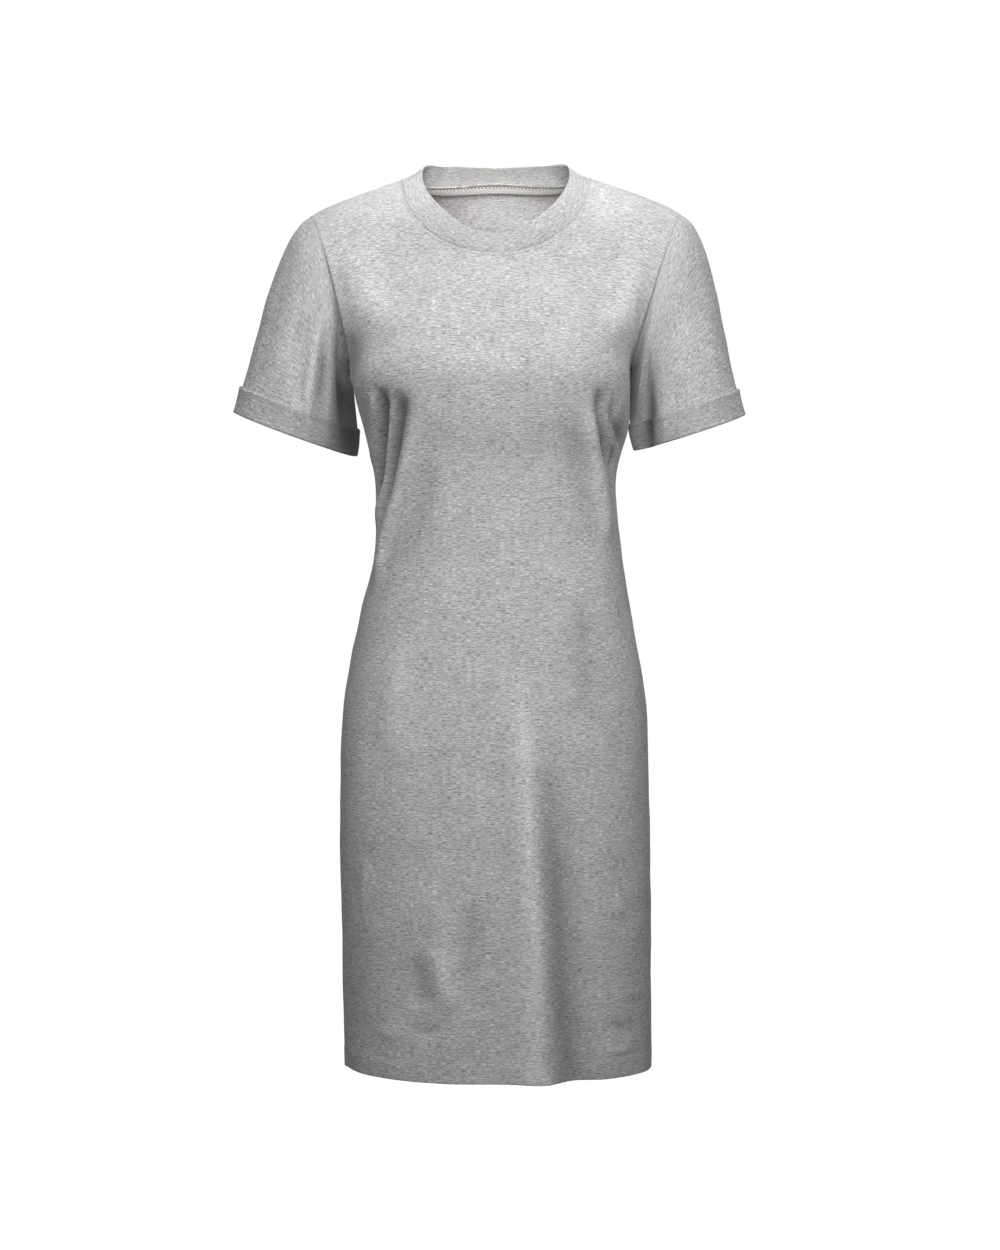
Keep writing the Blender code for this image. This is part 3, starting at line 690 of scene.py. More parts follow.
@dataclass
class Drape:
    """What the cloth does on the form: the bust, the long folds, the creases and ripples."""

    bust_around: float = 0.215
    bust_height: float = -192 * MM
    bust_spread: float = 48 * MM
    bust_lift: float = 9 * MM
    half_girth: float = 420 * MM
    hem: float = -921
    path_points: int = 28
    crease_reach: float = 3.2
    ripple_lift: float = 0.42 * MM
    ripple_seed: int = 5
    ripple_waves: int = 30
    ripple_finest: float = 24 * MM
    ripple_coarsest: float = 90 * MM
    folds: tuple = (
        Fold(-470, -925, (0.03, 0.09, 0.11), 22, 7),
        Fold(-520, -925, (0.12, 0.17, 0.19), 20, -5),
        Fold(-700, -925, (-0.20, -0.15, -0.11), 22, 3),
        Fold(-205, -330, (-0.40, -0.42, -0.45), 12, 4),
        Fold(-215, -400, (-0.30, -0.35, -0.40), 15, -4),
        Fold(-215, -390, (0.32, 0.37, 0.42), 14, -4),
        Fold(-210, -330, (0.40, 0.43, 0.46), 11, 4),
        Fold(-430, -925, (0.80, 0.84, 0.86), 26, 5),
        Fold(-480, -925, (-0.90, -0.86, -0.83), 24, 5),
        Fold(-520, -925, (0.97, 0.98, 0.99), 26, -4))
    front_creases: tuple = (
        # Wearer's right, from the underarm down into the waist.
        (((-121, -226), (-124, -256), (-128, -308)), 5.0, 7, 6),
        (((-103, -222), (-108, -270), (-114, -320), (-121, -378)), -9.0, 17, 17,
         0.2, 0.3, 0.4),
        (((-112, -222), (-115, -251), (-118, -281), (-122, -321), (-126, -358)), -8.0, 8, 7,
         0.2, 0.3, 0.9),
        (((-104, -222), (-108, -261), (-114, -300), (-119, -334), (-124, -368)), 9.0, 6, 6,
         0.2, 0.3, 0.6),
        (((-90, -230), (-97, -260), (-104, -295), (-112, -330), (-121, -376)), -7.0, 7, 7,
         0.2, 0.3, 0.85),
        (((-75, -233), (-86, -284), (-98, -327), (-112, -378), (-119, -409), (-129, -434)),
         7.5, 7, 17),
        (((-60, -300), (-78, -360), (-98, -420)), -2.5, 14, 16),
        (((-152, -160), (-147, -195), (-138, -236)), -3.5, 17, 17, 0.3, 0.4, 0.6),
        # Wearer's left, from the underarm down into the waist.
        (((106, -223), (110, -250), (115, -285), (119, -315)), -6.0, 9, 9, 0.3, 0.3, 0.2),
        (((101, -223), (105, -250), (110, -285), (115, -315)), -6.0, 8, 6, 0.3, 0.3, 0.6),
        (((109, -226), (113, -256), (118, -284), (121, -307)), 7.0, 6, 6),
        (((117, -236), (121, -263), (124, -288)), -5.0, 7, 6, 0.3, 0.3, 0.5),
        (((87, -232), (95, -281), (102, -321), (110, -361), (117, -385)), 7.5, 15, 7,
         0.3, 0.3, 0.4),
        (((70, -240), (80, -290), (91, -345), (102, -390)), -1.6, 14, 14),
        (((150, -172), (143, -205), (134, -236)), -2.5, 12, 12, 0.3, 0.4, 0.3),
        # Fullness between the bust and the armholes.
        (((-147, -58), (-138, -105), (-129, -142), (-112, -176)), 6.0, 20, 22, 0.4, 0.35),
        (((151, -60), (138, -112), (127, -155), (117, -190)), 6.0, 22, 20, 0.4, 0.35),
        # The skirt's drape, and the small ones near the hem.
        (((19, -500), (29, -568), (31, -645), (36, -745), (39, -895), (40, -960)), 8.0, 16, 18,
         0.35, 0.03, 0.55),
        (((54, -568), (64, -694), (73, -794), (77, -870), (78, -960)), -10.0, 22, 20,
         0.35, 0.03, 0.5),
        (((47, -904), (54, -950)), 2.3, 3, 4, 0.5, 0.02),
        (((-62, -780), (-52, -826), (-41, -860)), 3.2, 12, 11),
        (((-28, -740), (-26, -790), (-30, -840)), -3.0, 12, 12),
        (((-82, -790), (-78, -830), (-74, -864)), -2.6, 12, 12),
        (((-98, -846), (-74, -852), (-50, -848)), 1.6, 4, 4, 0.4, 0.4),
        (((-92, -868), (-70, -876), (-44, -870)), -1.6, 5, 4, 0.4, 0.4),
        (((-126, -870), (-108, -880), (-88, -876)), 1.4, 5, 4, 0.4, 0.4),
        (((120, -836), (136, -842), (148, -838)), 1.6, 4, 4, 0.4, 0.4),
        (((112, -868), (130, -876), (146, -870)), -1.6, 5, 5, 0.4, 0.4),
        (((104, -890), (124, -898), (146, -892)), 1.4, 5, 5, 0.4, 0.4),
        (((118, -736), (124, -752), (130, -764)), 1.7, 7, 6),
        (((-132, -700), (-134, -730), (-132, -760)), 1.5, 8, 8),
        (((84, -430), (92, -500), (96, -580)), -2.4, 18, 16),
        (((-96, -470), (-104, -540), (-106, -620)), 2.4, 16, 16))
    back_creases: tuple = (
        (((-118, -236), (-112, -280), (-108, -330)), 3.8, 5, 7),
        (((-104, -232), (-97, -285), (-92, -345)), -4.2, 7, 7),
        (((-92, -226), (-82, -285), (-77, -352)), 4.2, 7, 11),
        (((116, -234), (111, -284), (107, -338)), 3.5, 6, 5),
        (((103, -226), (95, -290), (90, -352)), -4.5, 7, 7),
        (((90, -232), (80, -300), (74, -372)), 4.3, 11, 6),
        (((-96, -352), (-40, -372), (4, -370), (52, -377), (98, -356)), -2.9, 13, 9, 0.3, 0.3),
        (((-80, -376), (-30, -396), (20, -392), (72, -402)), 2.7, 8, 12, 0.35, 0.3),
        (((-70, -404), (-20, -420), (34, -418)), -1.9, 9, 9, 0.35, 0.4),
        (((-128, -96), (-112, -140), (-84, -178)), 2.2, 11, 14),
        (((130, -92), (110, -138), (86, -182)), 2.1, 14, 11),
        (((-60, -38), (-20, -50), (24, -49), (62, -36)), -1.4, 8, 10, 0.4, 0.4),
        (((-52, -560), (-60, -660), (-64, -770), (-66, -880)), 2.7, 16, 14, 0.35, 0.15),
        (((34, -600), (42, -720), (48, -840), (50, -960)), -2.7, 14, 16, 0.35, 0.1),
        (((96, -560), (104, -640), (108, -730)), 1.9, 15, 15),
        (((-84, -862), (-60, -868), (-34, -862)), 1.1, 5, 4, 0.4, 0.4))

    def long_folds(self, around: Array, height: Array) -> Array:
        """Outward shift of the bust and the long folds at places round the body."""
        away = np.hypot((np.abs(around) - self.bust_around) * self.half_girth,
                        height - self.bust_height)
        total = self.bust_lift * bell(away, self.bust_spread)
        for fold in self.folds:
            part = (fold.top * MM - height) / ((fold.top - fold.bottom) * MM)
            start, middle, end = fold.around
            bend = middle - (start + end) / 2
            place = start + (end - start) * part + 4 * bend * part * (1 - part)
            shift = ((around - place + 1) % 2 - 1) * self.half_girth
            last = 0.5 if fold.bottom < self.hem else 1.0
            ends = np.sin(math.pi * np.clip(part, 0, last)) ** 2
            total = total + fold.lift * MM * ends * bell(shift, fold.width * MM)
        return total

    def crease_lift(self, crease: Crease, path: Array, girth: Array, height: Array) -> Array:
        """Outward shift of one crease.

        Args:
            crease: the crease.
            path: its own points, as girth and height in metres.
            girth: the cloth's places round the body, in metres.
            height: the cloth's heights.

        Returns:
            The shift at each place.
        """
        fine = smooth_path(path, self.path_points)
        reach = self.crease_reach * max(crease.right, crease.left) * MM
        near = ((girth > fine[:, 0].min() - reach) & (girth < fine[:, 0].max() + reach)
                & (height > fine[:, 1].min() - reach) & (height < fine[:, 1].max() + reach))
        lift = np.zeros_like(girth)
        if not near.any():
            return lift
        place = np.stack((girth[near], height[near]), axis=1)
        start = fine[:-1]
        step = fine[1:] - start
        part = np.clip(((place[:, None] - start) * step).sum(axis=2) / (step ** 2).sum(axis=1), 0, 1)
        offset = place[:, None] - (start + part[..., None] * step)
        distance = np.linalg.norm(offset, axis=2)
        best = distance.argmin(axis=1)
        rows = np.arange(len(best))
        away = distance[rows, best]
        run = (best + part[rows, best]) / len(step)
        side = step[best, 0] * offset[rows, best, 1] - step[best, 1] * offset[rows, best, 0]
        width = np.where(side < 0, crease.left, crease.right) * MM
        ends = smooth(run, 0, crease.fade_in) * smooth(1 - run, 0, crease.fade_out)
        lift[near] = crease.lift * MM * ends * bell(away, width)
        return lift

    def ripple(self, points: Array) -> Array:
        """Outward shift of the cloth's gentle unevenness, the same on both sides of a seam."""
        random = np.random.default_rng(self.ripple_seed)
        total = np.zeros(points.shape[:-1])
        ratio = self.ripple_coarsest / self.ripple_finest
        for index in range(self.ripple_waves):
            wave = self.ripple_finest * ratio ** (index / (self.ripple_waves - 1))
            direction = unit(random.normal(size=3) * np.array((1.0, 1.0, 0.55)))
            phase = random.uniform(0, 2 * math.pi)
            weight = (wave / self.ripple_coarsest) ** 0.6
            total += weight * np.sin(points @ direction * (2 * math.pi / wave) + phase)
        return total * self.ripple_lift / math.sqrt(self.ripple_waves / 2)


def smooth_path(path: Array, count: int) -> Array:
    """Points along a smooth curve through a few places."""
    stations = np.linspace(0, 1, len(path))
    wanted = np.linspace(0, 1, count)
    columns = [Table(("station", "value"), tuple(zip(stations, path[:, axis])))
               .read("value", wanted) for axis in range(path.shape[1])]
    return np.stack(columns, axis=1)


# ------------------------------ meshes


@dataclass
class Shell:
    """Two layers of points joined into one closed piece of cloth."""

    name: str
    outer: Array
    inner: Array
    weave: Array
    closed: bool
    low_rim: Array | None = None
    high_rim: Array | None = None
    # Painted shade at each outer point: above 0 darkens the colour, below 0 is painted highlight.
    painted_shade: Array | None = None

    def build(self, material: Material) -> bpy.types.Object:
        """Make the piece's mesh and object, with its weave coordinates as a UV map and its painted
        shade as a point attribute.
        """
        empty = self.outer[:0]
        low = empty if self.low_rim is None else self.low_rim
        high = empty if self.high_rim is None else self.high_rim
        ring = np.concatenate((self.outer, high, self.inner[::-1], low))
        first, last = self.weave[:1], self.weave[-1:]
        under = self.weave[::-1] if len(self.inner) else self.weave[:0]
        weave = np.concatenate((self.weave, np.repeat(last, len(high), axis=0),
                                under, np.repeat(first, len(low), axis=0)))
        rows, columns = ring.shape[:2]
        spans = columns if self.closed else columns - 1
        row, column = np.meshgrid(np.arange(rows), np.arange(spans), indexing="ij")
        row, column = row.ravel(), column.ravel()
        after = (row + 1) % rows
        beside = (column + 1) % columns
        corners = np.stack((row * columns + column, row * columns + beside,
                            after * columns + beside, after * columns + column), axis=1)
        faces = corners.tolist()
        places = np.stack((weave[row, column], weave[row, column + 1],
                           weave[after, column + 1], weave[after, column]), axis=1)
        places = places.reshape(-1, 2).tolist()
        if not self.closed:
            ends, end_places = self.end_walls(rows, columns, len(high), weave)
            faces += ends
            places += end_places
        mesh = bpy.data.meshes.new(self.name)
        mesh.from_pydata(ring.reshape(-1, 3).tolist(), [], faces)
        layer = mesh.uv_layers.new(name="weave")
        layer.uv.foreach_set("vector", np.array(places, dtype=np.float32).ravel())
        # The painted shade, repeated over the rims and reversed onto the inner layer.
        depth = np.zeros(self.outer.shape[:2]) if self.painted_shade is None else self.painted_shade
        below = depth[::-1] if len(self.inner) else depth[:0]
        depth = np.concatenate((depth, np.repeat(depth[-1:], len(high), axis=0), below,
                                np.repeat(depth[:1], len(low), axis=0)))
        painted_shade = mesh.attributes.new("painted_shade", "FLOAT", "POINT")
        painted_shade.data.foreach_set("value", depth.astype(np.float32).ravel())
        mesh.shade_smooth()
        mesh.set_sharp_from_angle(angle=math.radians(58))
        mesh.materials.append(material)
        return place_object(self.name, mesh)

    def end_walls(self, rows: int, columns: int, high: int, weave: Array) -> tuple[list, list]:
        """Close the two open side edges.

        Args:
            rows: how many rows the joined layers have.
            columns: how many columns they have.
            high: how many rows the high rim has.
            weave: the weave coordinates of all the rows.

        Returns:
            The faces, and the weave coordinates of their corners.
        """
        layer = len(self.outer)
        faces = []
        places = []
        top = list(range(layer - 1, layer + high + 1))
        bottom = list(range(2 * layer + high - 1, rows)) + [0]
        for column, turn in ((0, 1), (columns - 1, -1)):
            loops = [[index, index + 1, 2 * layer + high - 2 - index, 2 * layer + high - 1 - index]
                     for index in range(layer - 1)]
            loops += [loop for loop in (top, bottom) if len(loop) > 2]
            for loop in loops:
                loop = loop[::turn]
                faces.append([row * columns + column for row in loop])
                places += [weave[row, column].tolist() for row in loop]
        return faces, places


def ring_piece(name: str, rows: Array, weave: Array, material: Material,
               painted_shade: Array | None = None) -> bpy.types.Object:
    """Make a piece whose section and whose way round both close on themselves.

    Args:
        name: the piece's name.
        rows: its section's points, a row for each, with the way round as columns.
        weave: the weave coordinates, with one more column for the close.
        material: its finish.
        painted_shade: painted shade at each point, from 0 to 1, darker in creases and beside the
            body.
    """
    return Shell(name, rows, rows[:0], weave, True, painted_shade=painted_shade).build(material)


def place_object(name: str, mesh: bpy.types.Mesh) -> bpy.types.Object:
    """Put a mesh in the scene at the origin and return its object."""
    piece = bpy.data.objects.new(name, mesh)
    bpy.context.scene.collection.objects.link(piece)
    return piece


def round_rim(start: Array, end: Array, beyond: Array, steps: int = 4) -> Array:
    """Rows that round an edge over from one layer to the other.

    Args:
        start: the row that the rim leaves.
        end: the row that it comes to.
        beyond: unit vectors that point off the edge.
        steps: how many steps the half circle has.
    """
    middle = (start + end) / 2
    arm = start - middle
    radius = np.linalg.norm(arm, axis=1, keepdims=True)
    turns = np.linspace(0, math.pi, steps + 1)[1:-1]
    return np.array([middle + arm * math.cos(turn) + beyond * radius * math.sin(turn)
                     for turn in turns])


def cloth_area(grid: Array, closed: bool) -> float:
    """Area of one layer of a piece, in square metres."""
    if closed:
        grid = wrapped(grid)
    first = grid[1:, 1:] - grid[:-1, :-1]
    second = grid[1:, :-1] - grid[:-1, 1:]
    return float(np.linalg.norm(np.cross(first, second), axis=2).sum() / 2)


def declare(piece: bpy.types.Object, node: str, flat: tuple, area: float) -> None:
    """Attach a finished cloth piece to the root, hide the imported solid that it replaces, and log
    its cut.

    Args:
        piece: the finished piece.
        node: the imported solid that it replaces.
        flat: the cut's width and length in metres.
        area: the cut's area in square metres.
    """
    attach(piece, "root")
    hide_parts(node)
    LOG.info("%s: %.3f x %.3f m, %.4f square metres", piece.name, *flat, area)


# ------------------------------ body panels


@dataclass
class SeamRelief:
    """How the cloth sinks into a seam and stands over the allowance folded behind it."""

    groove: float = 0.75 * MM
    groove_width: float = 1.3 * MM
    allowance: float = 0.0
    allowance_width: float = 6.5 * MM
    pucker: float = 0.22 * MM
    pucker_pitch: float = 11 * MM

    def lift(self, distance: Array, along: Array) -> Array:
        """Outward shift beside a seam.

        Args:
            distance: distance from the seam line.
            along: place along the seam, both in metres.
        """
        low = -self.groove * bell(distance, self.groove_width)
        strip = self.allowance * (smooth(distance, 0.3 * MM, 1.8 * MM)
                                  - smooth(distance, self.allowance_width,
                                           self.allowance_width + 1.6 * MM))
        wave = np.sin(along * 2 * math.pi / self.pucker_pitch
                      + 1.7 * np.sin(along * 2 * math.pi / (4.3 * self.pucker_pitch)))
        return low + strip + self.pucker * wave * bell(distance - 3 * MM, 4 * MM)


@dataclass
class Body:
    """The front and the back, from the shoulder and neck seams down to the turned-up hem."""

    form: BodyForm
    drape: Drape
    skirt_rows: int = 158
    yoke_rows: int = 76
    neck_spans: int = 80
    shoulder_spans: int = 54
    thickness: float = 1.05 * MM
    ease_spread: float = 9 * MM
    ease_reach: float = 34 * MM
    hem_fold: float = 19.5 * MM
    hem_lift: float = 0.35 * MM
    topstitch: float = 4.9 * MM
    back_wrap: float = 850 * MM
    # Painted light: crease ridges are painted lighter, down to the strongest highlight, and a
    # painted shadow line runs along the neck and shoulder seams.
    ridge_painted_highlight: float = -0.8
    strongest_painted_highlight: float = -0.35
    seam_painted_shadow: float = 0.6
    side_seam: SeamRelief = field(default_factory=lambda: SeamRelief(
        0.5 * MM, 1.5 * MM, 0.25 * MM, pucker=0.08 * MM))
    armhole_seam: SeamRelief = field(default_factory=lambda: SeamRelief(0.6 * MM, 1.0 * MM))
    shoulder_seam: SeamRelief = field(default_factory=lambda: SeamRelief(
        0.7 * MM, 1.2 * MM, 0.35 * MM, pucker=0.1 * MM))
    neck_seam: SeamRelief = field(default_factory=lambda: SeamRelief(
        0.9 * MM, 1.0 * MM, 0.7 * MM, 4.3 * MM, 0.12 * MM, 6 * MM))
    outer: dict = field(default_factory=dict)
    inner: dict = field(default_factory=dict)
    weave: dict = field(default_factory=dict)
    normals: dict = field(default_factory=dict)
    # Painted shade of each panel, darker in troughs and along the top seams.
    painted_shade: dict = field(default_factory=dict)

    def columns(self) -> Array:
        """Places of the columns, close together at the armholes and the neck points."""
        form = self.form
        half = spread(form.neck_columns, form.half_columns, self.shoulder_spans, 1.0, 2.2, 0.16)
        half_neck = spread(0, form.neck_columns, self.neck_spans // 2, 0.75, 1.15, 0.45)
        one_side = np.concatenate((half_neck, half[1:]))
        return np.concatenate((-one_side[:0:-1], one_side))

    def yoke_parts(self) -> Array:
        """Shares of the way up the yoke of its rows, close together under the top seams."""
        return spread(0, 1, self.yoke_rows, 1.0, 2.6, 0.12)

    def skirt_levels(self) -> Array:
        """Levels of the skirt's rows, close together over the hem."""
        return spread(0, 1, self.skirt_rows, 3.0, 1.3, 0.035)[:-1]

    def base(self, face: Face) -> dict:
        """Lay out a panel on the bare form.

        Args:
            face: front or back.

        Returns:
            The panel's grid of points, and arrays of each point's share across, girth round
            the body and row length.
        """
        form = self.form
        place = self.columns()
        share_top, level_top = form.top_places(face, place)
        if face is Face.BACK:
            place, share_top, level_top = place[::-1], share_top[::-1], level_top[::-1]
        column = place / form.half_columns
        levels = self.skirt_levels()[:, None] + 0 * column
        shares = column + 0 * levels
        part = self.yoke_parts()[:, None]
        shares_up = column + (share_top - column) * part ** form.column_blend
        levels_up = 1 + (level_top - 1) * part
        share = np.concatenate((shares, shares_up))
        level = np.concatenate((levels, levels_up))
        points, row_length = form.surface(face, share, level)
        girth = share * row_length
        around = share / 2
        if face is Face.BACK:
            side = np.where(share >= 0, 1.0, -1.0)
            _, front_length = form.surface(Face.FRONT, side * 0.999, np.minimum(level, 2.0))
            girth = side * (front_length + (1 - np.abs(share)) * row_length)
            around = side * (1 - np.abs(share) / 2)
        eased = self.eased(form.leaned(points), share)
        return {"points": eased, "share": share, "girth": girth,
                "around": around, "row": row_length, "across": share * row_length}

    def eased(self, points: Array, share: Array) -> Array:
        """Round the panel over where the yoke's sections meet the skirt's.

        Args:
            points: the panel's grid.
            share: each point's share across.

        Returns:
            The grid, unchanged near the side edges and away from the underarm's level.
        """
        middle = points.shape[1] // 2
        run = run_length(points, 0)[:, middle]
        weight = np.exp(-((run[:, None] - run[None, :]) / self.ease_spread) ** 2 / 2)
        weight *= np.gradient(run)[None, :]
        weight /= weight.sum(axis=1, keepdims=True)
        soft = np.einsum("rs,scx->rcx", weight, points)
        height = points[..., 2]
        near = bell(height - self.form.underarm, self.ease_reach)
        inside = 1 - smooth(np.abs(share), 0.72, 0.99)
        blend = np.clip(near * 1.25, 0, 1) * inside
        return points + (soft - points) * blend[..., None]

    def share_edges(self, front: Array, back: Array) -> None:
        """Give the back the front's values along the side seams and the shoulder seams."""
        rows = self.skirt_rows + 1
        back[:rows, 0] = front[:rows, -1]
        back[:rows, -1] = front[:rows, 0]
        span = self.shoulder_spans + 1
        back[-1, :span] = front[-1, -span:][::-1]
        back[-1, -span:] = front[-1, :span][::-1]

    def share_normals(self, front: Array, back: Array) -> None:
        """Give both panels the mean of their normals along their seams."""
        mean = front.copy()
        rows = self.skirt_rows + 1
        span = self.shoulder_spans + 1
        mean[:rows, -1] += back[:rows, 0]
        mean[:rows, 0] += back[:rows, -1]
        mean[-1, -span:] += back[-1, :span][::-1]
        mean[-1, :span] += back[-1, -span:][::-1]
        front[:] = unit(mean)
        self.share_edges(front, back)

    def relief(self, face: Face, base: dict) -> Array:
        """Outward shift from the seams, the hem and the neck's topstitching.

        Args:
            face: front or back.
            base: the panel as base gives it.
        """
        points = base["points"]
        run = run_length(points, 0)
        top = run[-1] - run
        side = (1 - np.abs(base["share"])) * base["row"]
        height = points[..., 2]
        sleeve = smooth(height, self.form.underarm - 4 * MM, self.form.underarm + 2 * MM)
        total = (self.side_seam.lift(side, height) * (1 - sleeve)
                 + self.armhole_seam.lift(side, height) * sleeve)
        away = np.abs(self.columns())[None, :]
        on_neck = away <= self.form.neck_columns + 0.001
        shoulder = self.shoulder_seam.lift(top, base["across"])
        neck = self.neck_seam.lift(top, base["across"])
        neck = neck - 0.4 * MM * bell(top - self.topstitch, 0.7 * MM)
        total = total + np.where(on_neck, neck, shoulder * (1.0 if face is Face.BACK else 0.6))
        return total + self.hem_relief(run, base["girth"] + 0.25 * run)

    def hem_relief(self, run: Array, girth: Array) -> Array:
        """Outward shift of the turned-up hem, by distance from the edge and place round it."""
        fold = self.hem_lift * (1 - smooth(run, self.hem_fold - 1.2 * MM, self.hem_fold + 0.8 * MM))
        line = -0.4 * MM * bell(run - self.hem_fold, 0.8 * MM)
        turn = 2 * math.pi * girth
        ripple = (np.sin(turn / (9.5 * MM) + 1.9 * np.sin(turn / (47 * MM)))
                  * (0.6 + 0.4 * np.sin(turn / (131 * MM))))
        pucker = 0.2 * MM * ripple * bell(run - 12 * MM, 10 * MM)
        wave = 0.7 * MM * np.sin(turn / (83 * MM) + 0.7) * bell(run, 40 * MM)
        return fold + line + pucker + wave

    def shape(self) -> None:
        """Work out both panels: the form, then its folds, creases, ripples and seams, and their
        painted shade.
        """
        bases = {face: self.base(face) for face in Face}
        front, back = bases[Face.FRONT], bases[Face.BACK]
        self.share_edges(front["points"], back["points"])
        normals = {face: grid_normals(bases[face]["points"], False) for face in Face}
        self.share_normals(normals[Face.FRONT], normals[Face.BACK])
        paths = self.crease_paths(bases)
        lifts = {}
        for face, base in bases.items():
            points = base["points"]
            soft = self.drape.long_folds(base["around"], points[..., 2])
            soft = soft + self.drape.ripple(points)
            # Painted shade in each trough and painted highlight on each ridge, by how far the crease
            # lifts the cloth there.
            painted_shade = np.zeros_like(soft)
            for crease, path in paths:
                part = self.drape.crease_lift(crease, path, base["girth"], points[..., 2])
                soft = soft + part
                share = 1.0 if crease.lift < 0 else self.ridge_painted_highlight
                painted_shade += share * crease.shade * np.abs(part) / (abs(crease.lift) * MM)
            self.painted_shade[face] = np.clip(painted_shade, self.strongest_painted_highlight, 1)
            above = points[..., 2] > self.form.underarm - 30 * MM
            side = 1 - np.abs(base["share"])
            soft = soft * np.where(above, smooth(side, -0.01, 0.11), 1)
            run = run_length(points, 0)
            soft = soft * smooth(run[-1] - run, -2 * MM, 22 * MM)
            # Painted shadow line along the neck and shoulder seams.
            self.painted_shade[face] += self.seam_painted_shadow * bell(run[-1] - run, 1.2 * MM)
            lifts[face] = soft + self.relief(face, base)
        self.share_edges(lifts[Face.FRONT], lifts[Face.BACK])
        self.share_edges(self.painted_shade[Face.FRONT], self.painted_shade[Face.BACK])
        for face, base in bases.items():
            self.outer[face] = base["points"] + normals[face] * lifts[face][..., None]
            self.weave[face] = np.stack((base["across"], run_length(base["points"], 0)), axis=2)
        self.normals = {face: grid_normals(self.outer[face], False) for face in Face}
        self.share_normals(self.normals[Face.FRONT], self.normals[Face.BACK])
        for face in Face:
            self.inner[face] = self.outer[face] - self.normals[face] * self.thickness

    def crease_paths(self, bases: dict) -> list[tuple[Crease, Array]]:
        """Carry each crease's path from across and height to girth and height."""
        paths = []
        for face, rows in ((Face.FRONT, self.drape.front_creases),
                           (Face.BACK, self.drape.back_creases)):
            flat = bases[face]["points"][..., (0, 2)].reshape(-1, 2)
            girth = bases[face]["girth"].ravel()
            for crease in (Crease(*row) for row in rows):
                path = []
                for across, height in crease.path:
                    wanted = np.array((across, height)) * MM
                    away = np.linalg.norm(flat - wanted, axis=1)
                    weight = bell(away, max(away.min(), 0.1 * MM) * 1.3)
                    same = np.sign(girth) == (1 if wanted[0] >= 0 else -1)
                    weight = weight * same if face is Face.BACK else weight
                    path.append(((girth * weight).sum() / weight.sum(), wanted[1]))
                paths += self.round_back(crease, np.array(path), face)
        return paths

    def round_back(self, crease: Crease, path: Array, face: Face) -> list:
        """Split a back crease that crosses the centre line, where the girth changes sign."""
        if face is Face.FRONT or np.all(path[:, 0] > 0) or np.all(path[:, 0] < 0):
            return [(crease, path)]
        wrap = np.array((self.back_wrap, 0))
        right = np.where(path[:, :1] > 0, path - wrap, path)
        left = np.where(path[:, :1] < 0, path + wrap, path)
        return [(crease, right), (crease, left)]

    def edge_loop(self, hand: Hand) -> tuple[Array, Array]:
        """The armhole's points from the shoulder point round by the front, and their angles."""
        left = hand is Hand.LEFT
        front = self.outer[Face.FRONT][self.skirt_rows:, -1 if left else 0]
        back = self.outer[Face.BACK][self.skirt_rows:, 0 if left else -1]
        loop = np.concatenate((front[::-1], back[1:-1]))
        turn = math.pi * (1 - self.yoke_parts())
        angles = np.concatenate((turn[::-1], 2 * math.pi - turn[1:-1]))
        if not left:
            loop = np.concatenate((loop[:1], loop[:0:-1]))
            angles = np.concatenate((angles[:1], angles[:0:-1]))
        return loop, angles

    def neck_edge(self) -> tuple[Array, Array]:
        """The neck seam's points from the wearer's right round by the front, and their angles."""
        place = self.columns()
        low = self.shoulder_spans
        high = len(place) - low
        front = self.outer[Face.FRONT][-1, low:high]
        back = self.outer[Face.BACK][-1, low:high]
        turns = place * 90 / self.form.neck_columns
        angles = np.concatenate((turns[low:high], 180 - turns[::-1][low + 1:high - 1]))
        return np.concatenate((front, back[1:-1])), angles

    def build(self, material: Material) -> None:
        """Make the two panels."""
        for face, name in ((Face.FRONT, "front"), (Face.BACK, "back")):
            outer, inner = self.outer[face], self.inner[face]
            down = unit(outer[0] - outer[1])
            shell = Shell(name + "_panel", outer, inner, self.weave[face], False,
                          low_rim=round_rim(inner[0], outer[0], down),
                          painted_shade=self.painted_shade[face])
            piece = shell.build(material)
            area = cloth_area(outer, False)
            across = self.weave[face][..., 0]
            width = float((across.max(axis=1) - across.min(axis=1)).max())
            length = float(run_length(outer, 0)[-1].max())
            declare(piece, name, (round(width, 3), round(length, 3)), round(area, 3))


# ------------------------------ sleeves and cuffs


@dataclass(frozen=True)
class SleeveCrease:
    """A crease down a sleeve, as a ridge where lift is above zero and a trough below.

    The angle round the arm is 90 at the front and 180 under the arm. The start, middle and end
    are shares of the sleeve's length, and the lean is the angle gained over the whole length.
    """

    angle: float
    start: float
    middle: float
    end: float
    width: float
    lift: float
    lean: float


